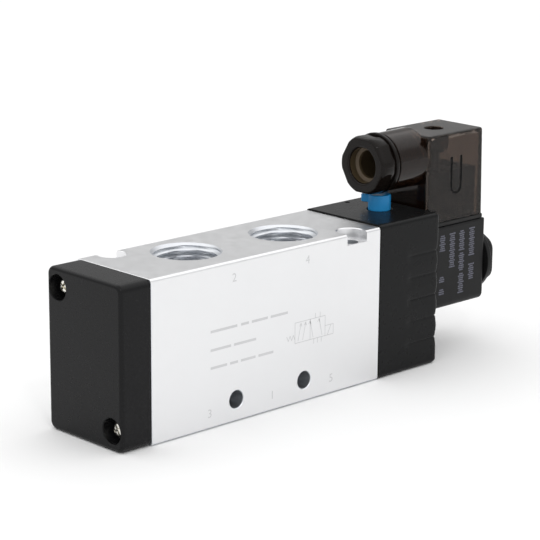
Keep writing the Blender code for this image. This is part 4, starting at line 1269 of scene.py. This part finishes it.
def paint_cad_nodes():
    """Give every CAD node its slot's material, and soften the edges of those that stay."""
    for row in frame["record"]["subparts"]:
        node = frame["nodes"][row["node"]]
        node.data.materials.clear()
        node.data.materials.append(MATERIALS[NODE_LOOKS.get(row["node"], row["material_slot"])])
        if node.hide_render:
            continue
        bevel = node.modifiers.new("bevel", "BEVEL")
        bevel.width = 0.08 * MM
        bevel.segments = 2
        bevel.limit_method = "ANGLE"
        bevel.angle_limit = math.radians(50)


# ---------------- studio


def make_floor():
    side = 8.0
    outline = ((-side, -side), (side, -side), (side, side), (-side, side))
    floor = lofted("floor", ((-0.02, outline), (-0.0001, outline)), "Z")
    floor.data.materials.append(floor_paint())


def make_world():
    """White studio: bright overhead and low down, with a greyer band above the far horizon."""
    world = bpy.data.worlds.new("studio")
    world.use_nodes = True
    tree = world.node_tree
    source = add_node(tree, "ShaderNodeTexCoord")
    split = add_node(tree, "ShaderNodeSeparateXYZ")
    tree.links.new(source.outputs["Generated"], split.inputs["Vector"])
    scale = 1.6
    height = split.outputs["Z"]
    near = value_ramp(tree, height, ((0.0, 1.0), (0.4, 0.90), (0.75, 1.25), (1.0, 1.25)), scale)
    far = value_ramp(tree, height, ((0.0, 0.75), (0.25, 0.42), (0.42, 0.52), (0.62, 1.45)), scale)
    facing = add_node(tree, "ShaderNodeVectorMath", operation="DOT_PRODUCT")
    facing.inputs[1].default_value = (-math.sin(CAMERA_AZIMUTH), math.cos(CAMERA_AZIMUTH), 0.0)
    tree.links.new(source.outputs["Generated"], facing.inputs[0])
    mixed = add_node(tree, "ShaderNodeMix", data_type="RGBA")
    tree.links.new(remap(tree, facing.outputs["Value"], 0.0, 1.0, -0.5, 0.5), mixed.inputs["Factor"])
    tree.links.new(near, mixed.inputs["A"])
    tree.links.new(far, mixed.inputs["B"])
    background = tree.nodes["Background"]
    tree.links.new(mixed.outputs["Result"], background.inputs["Color"])
    background.inputs["Strength"].default_value = scale
    bpy.context.scene.world = world


def make_lamp():
    """Small square softbox, high on the front left and aimed at the origin."""
    data = bpy.data.lights.new("key", "AREA")
    data.size = 0.12
    data.energy = 1.45
    lamp = add_object("key", data)
    place = Vector((-0.5, -0.9, 1.1))
    lamp.location = place
    lamp.rotation_euler = (-place).to_track_quat("-Z", "Y").to_euler()


def make_camera():
    flat = math.cos(CAMERA_ELEVATION)
    x = math.sin(CAMERA_AZIMUTH) * flat
    y = -math.cos(CAMERA_AZIMUTH) * flat
    away = Vector((x, y, math.sin(CAMERA_ELEVATION)))
    data = bpy.data.cameras.new("camera")
    data.lens = CAMERA_LENS
    data.sensor_width = 36.0
    data.clip_start = 0.01
    camera = add_object("camera", data)
    turn = (-away).to_track_quat("-Z", "Y").to_matrix().to_4x4() @ Matrix.Rotation(CAMERA_ROLL, 4, "Z")
    camera.matrix_world = Matrix.Translation(CAMERA_TARGET + away * CAMERA_DISTANCE) @ turn
    bpy.context.scene.camera = camera


make_valve_body()
make_end_cap()
make_screws()
make_pilot_body()
make_knob()
make_coil()
make_coil_print()
make_coil_nut()
make_plug_housing()
make_gasket()
make_gland_nut()
make_springs()
make_port_numbers()
make_data_bars()
make_symbol()
paint_cad_nodes()

make_floor()
make_world()
make_lamp()
make_camera()
bpy.context.scene.view_settings.view_transform = "Standard"
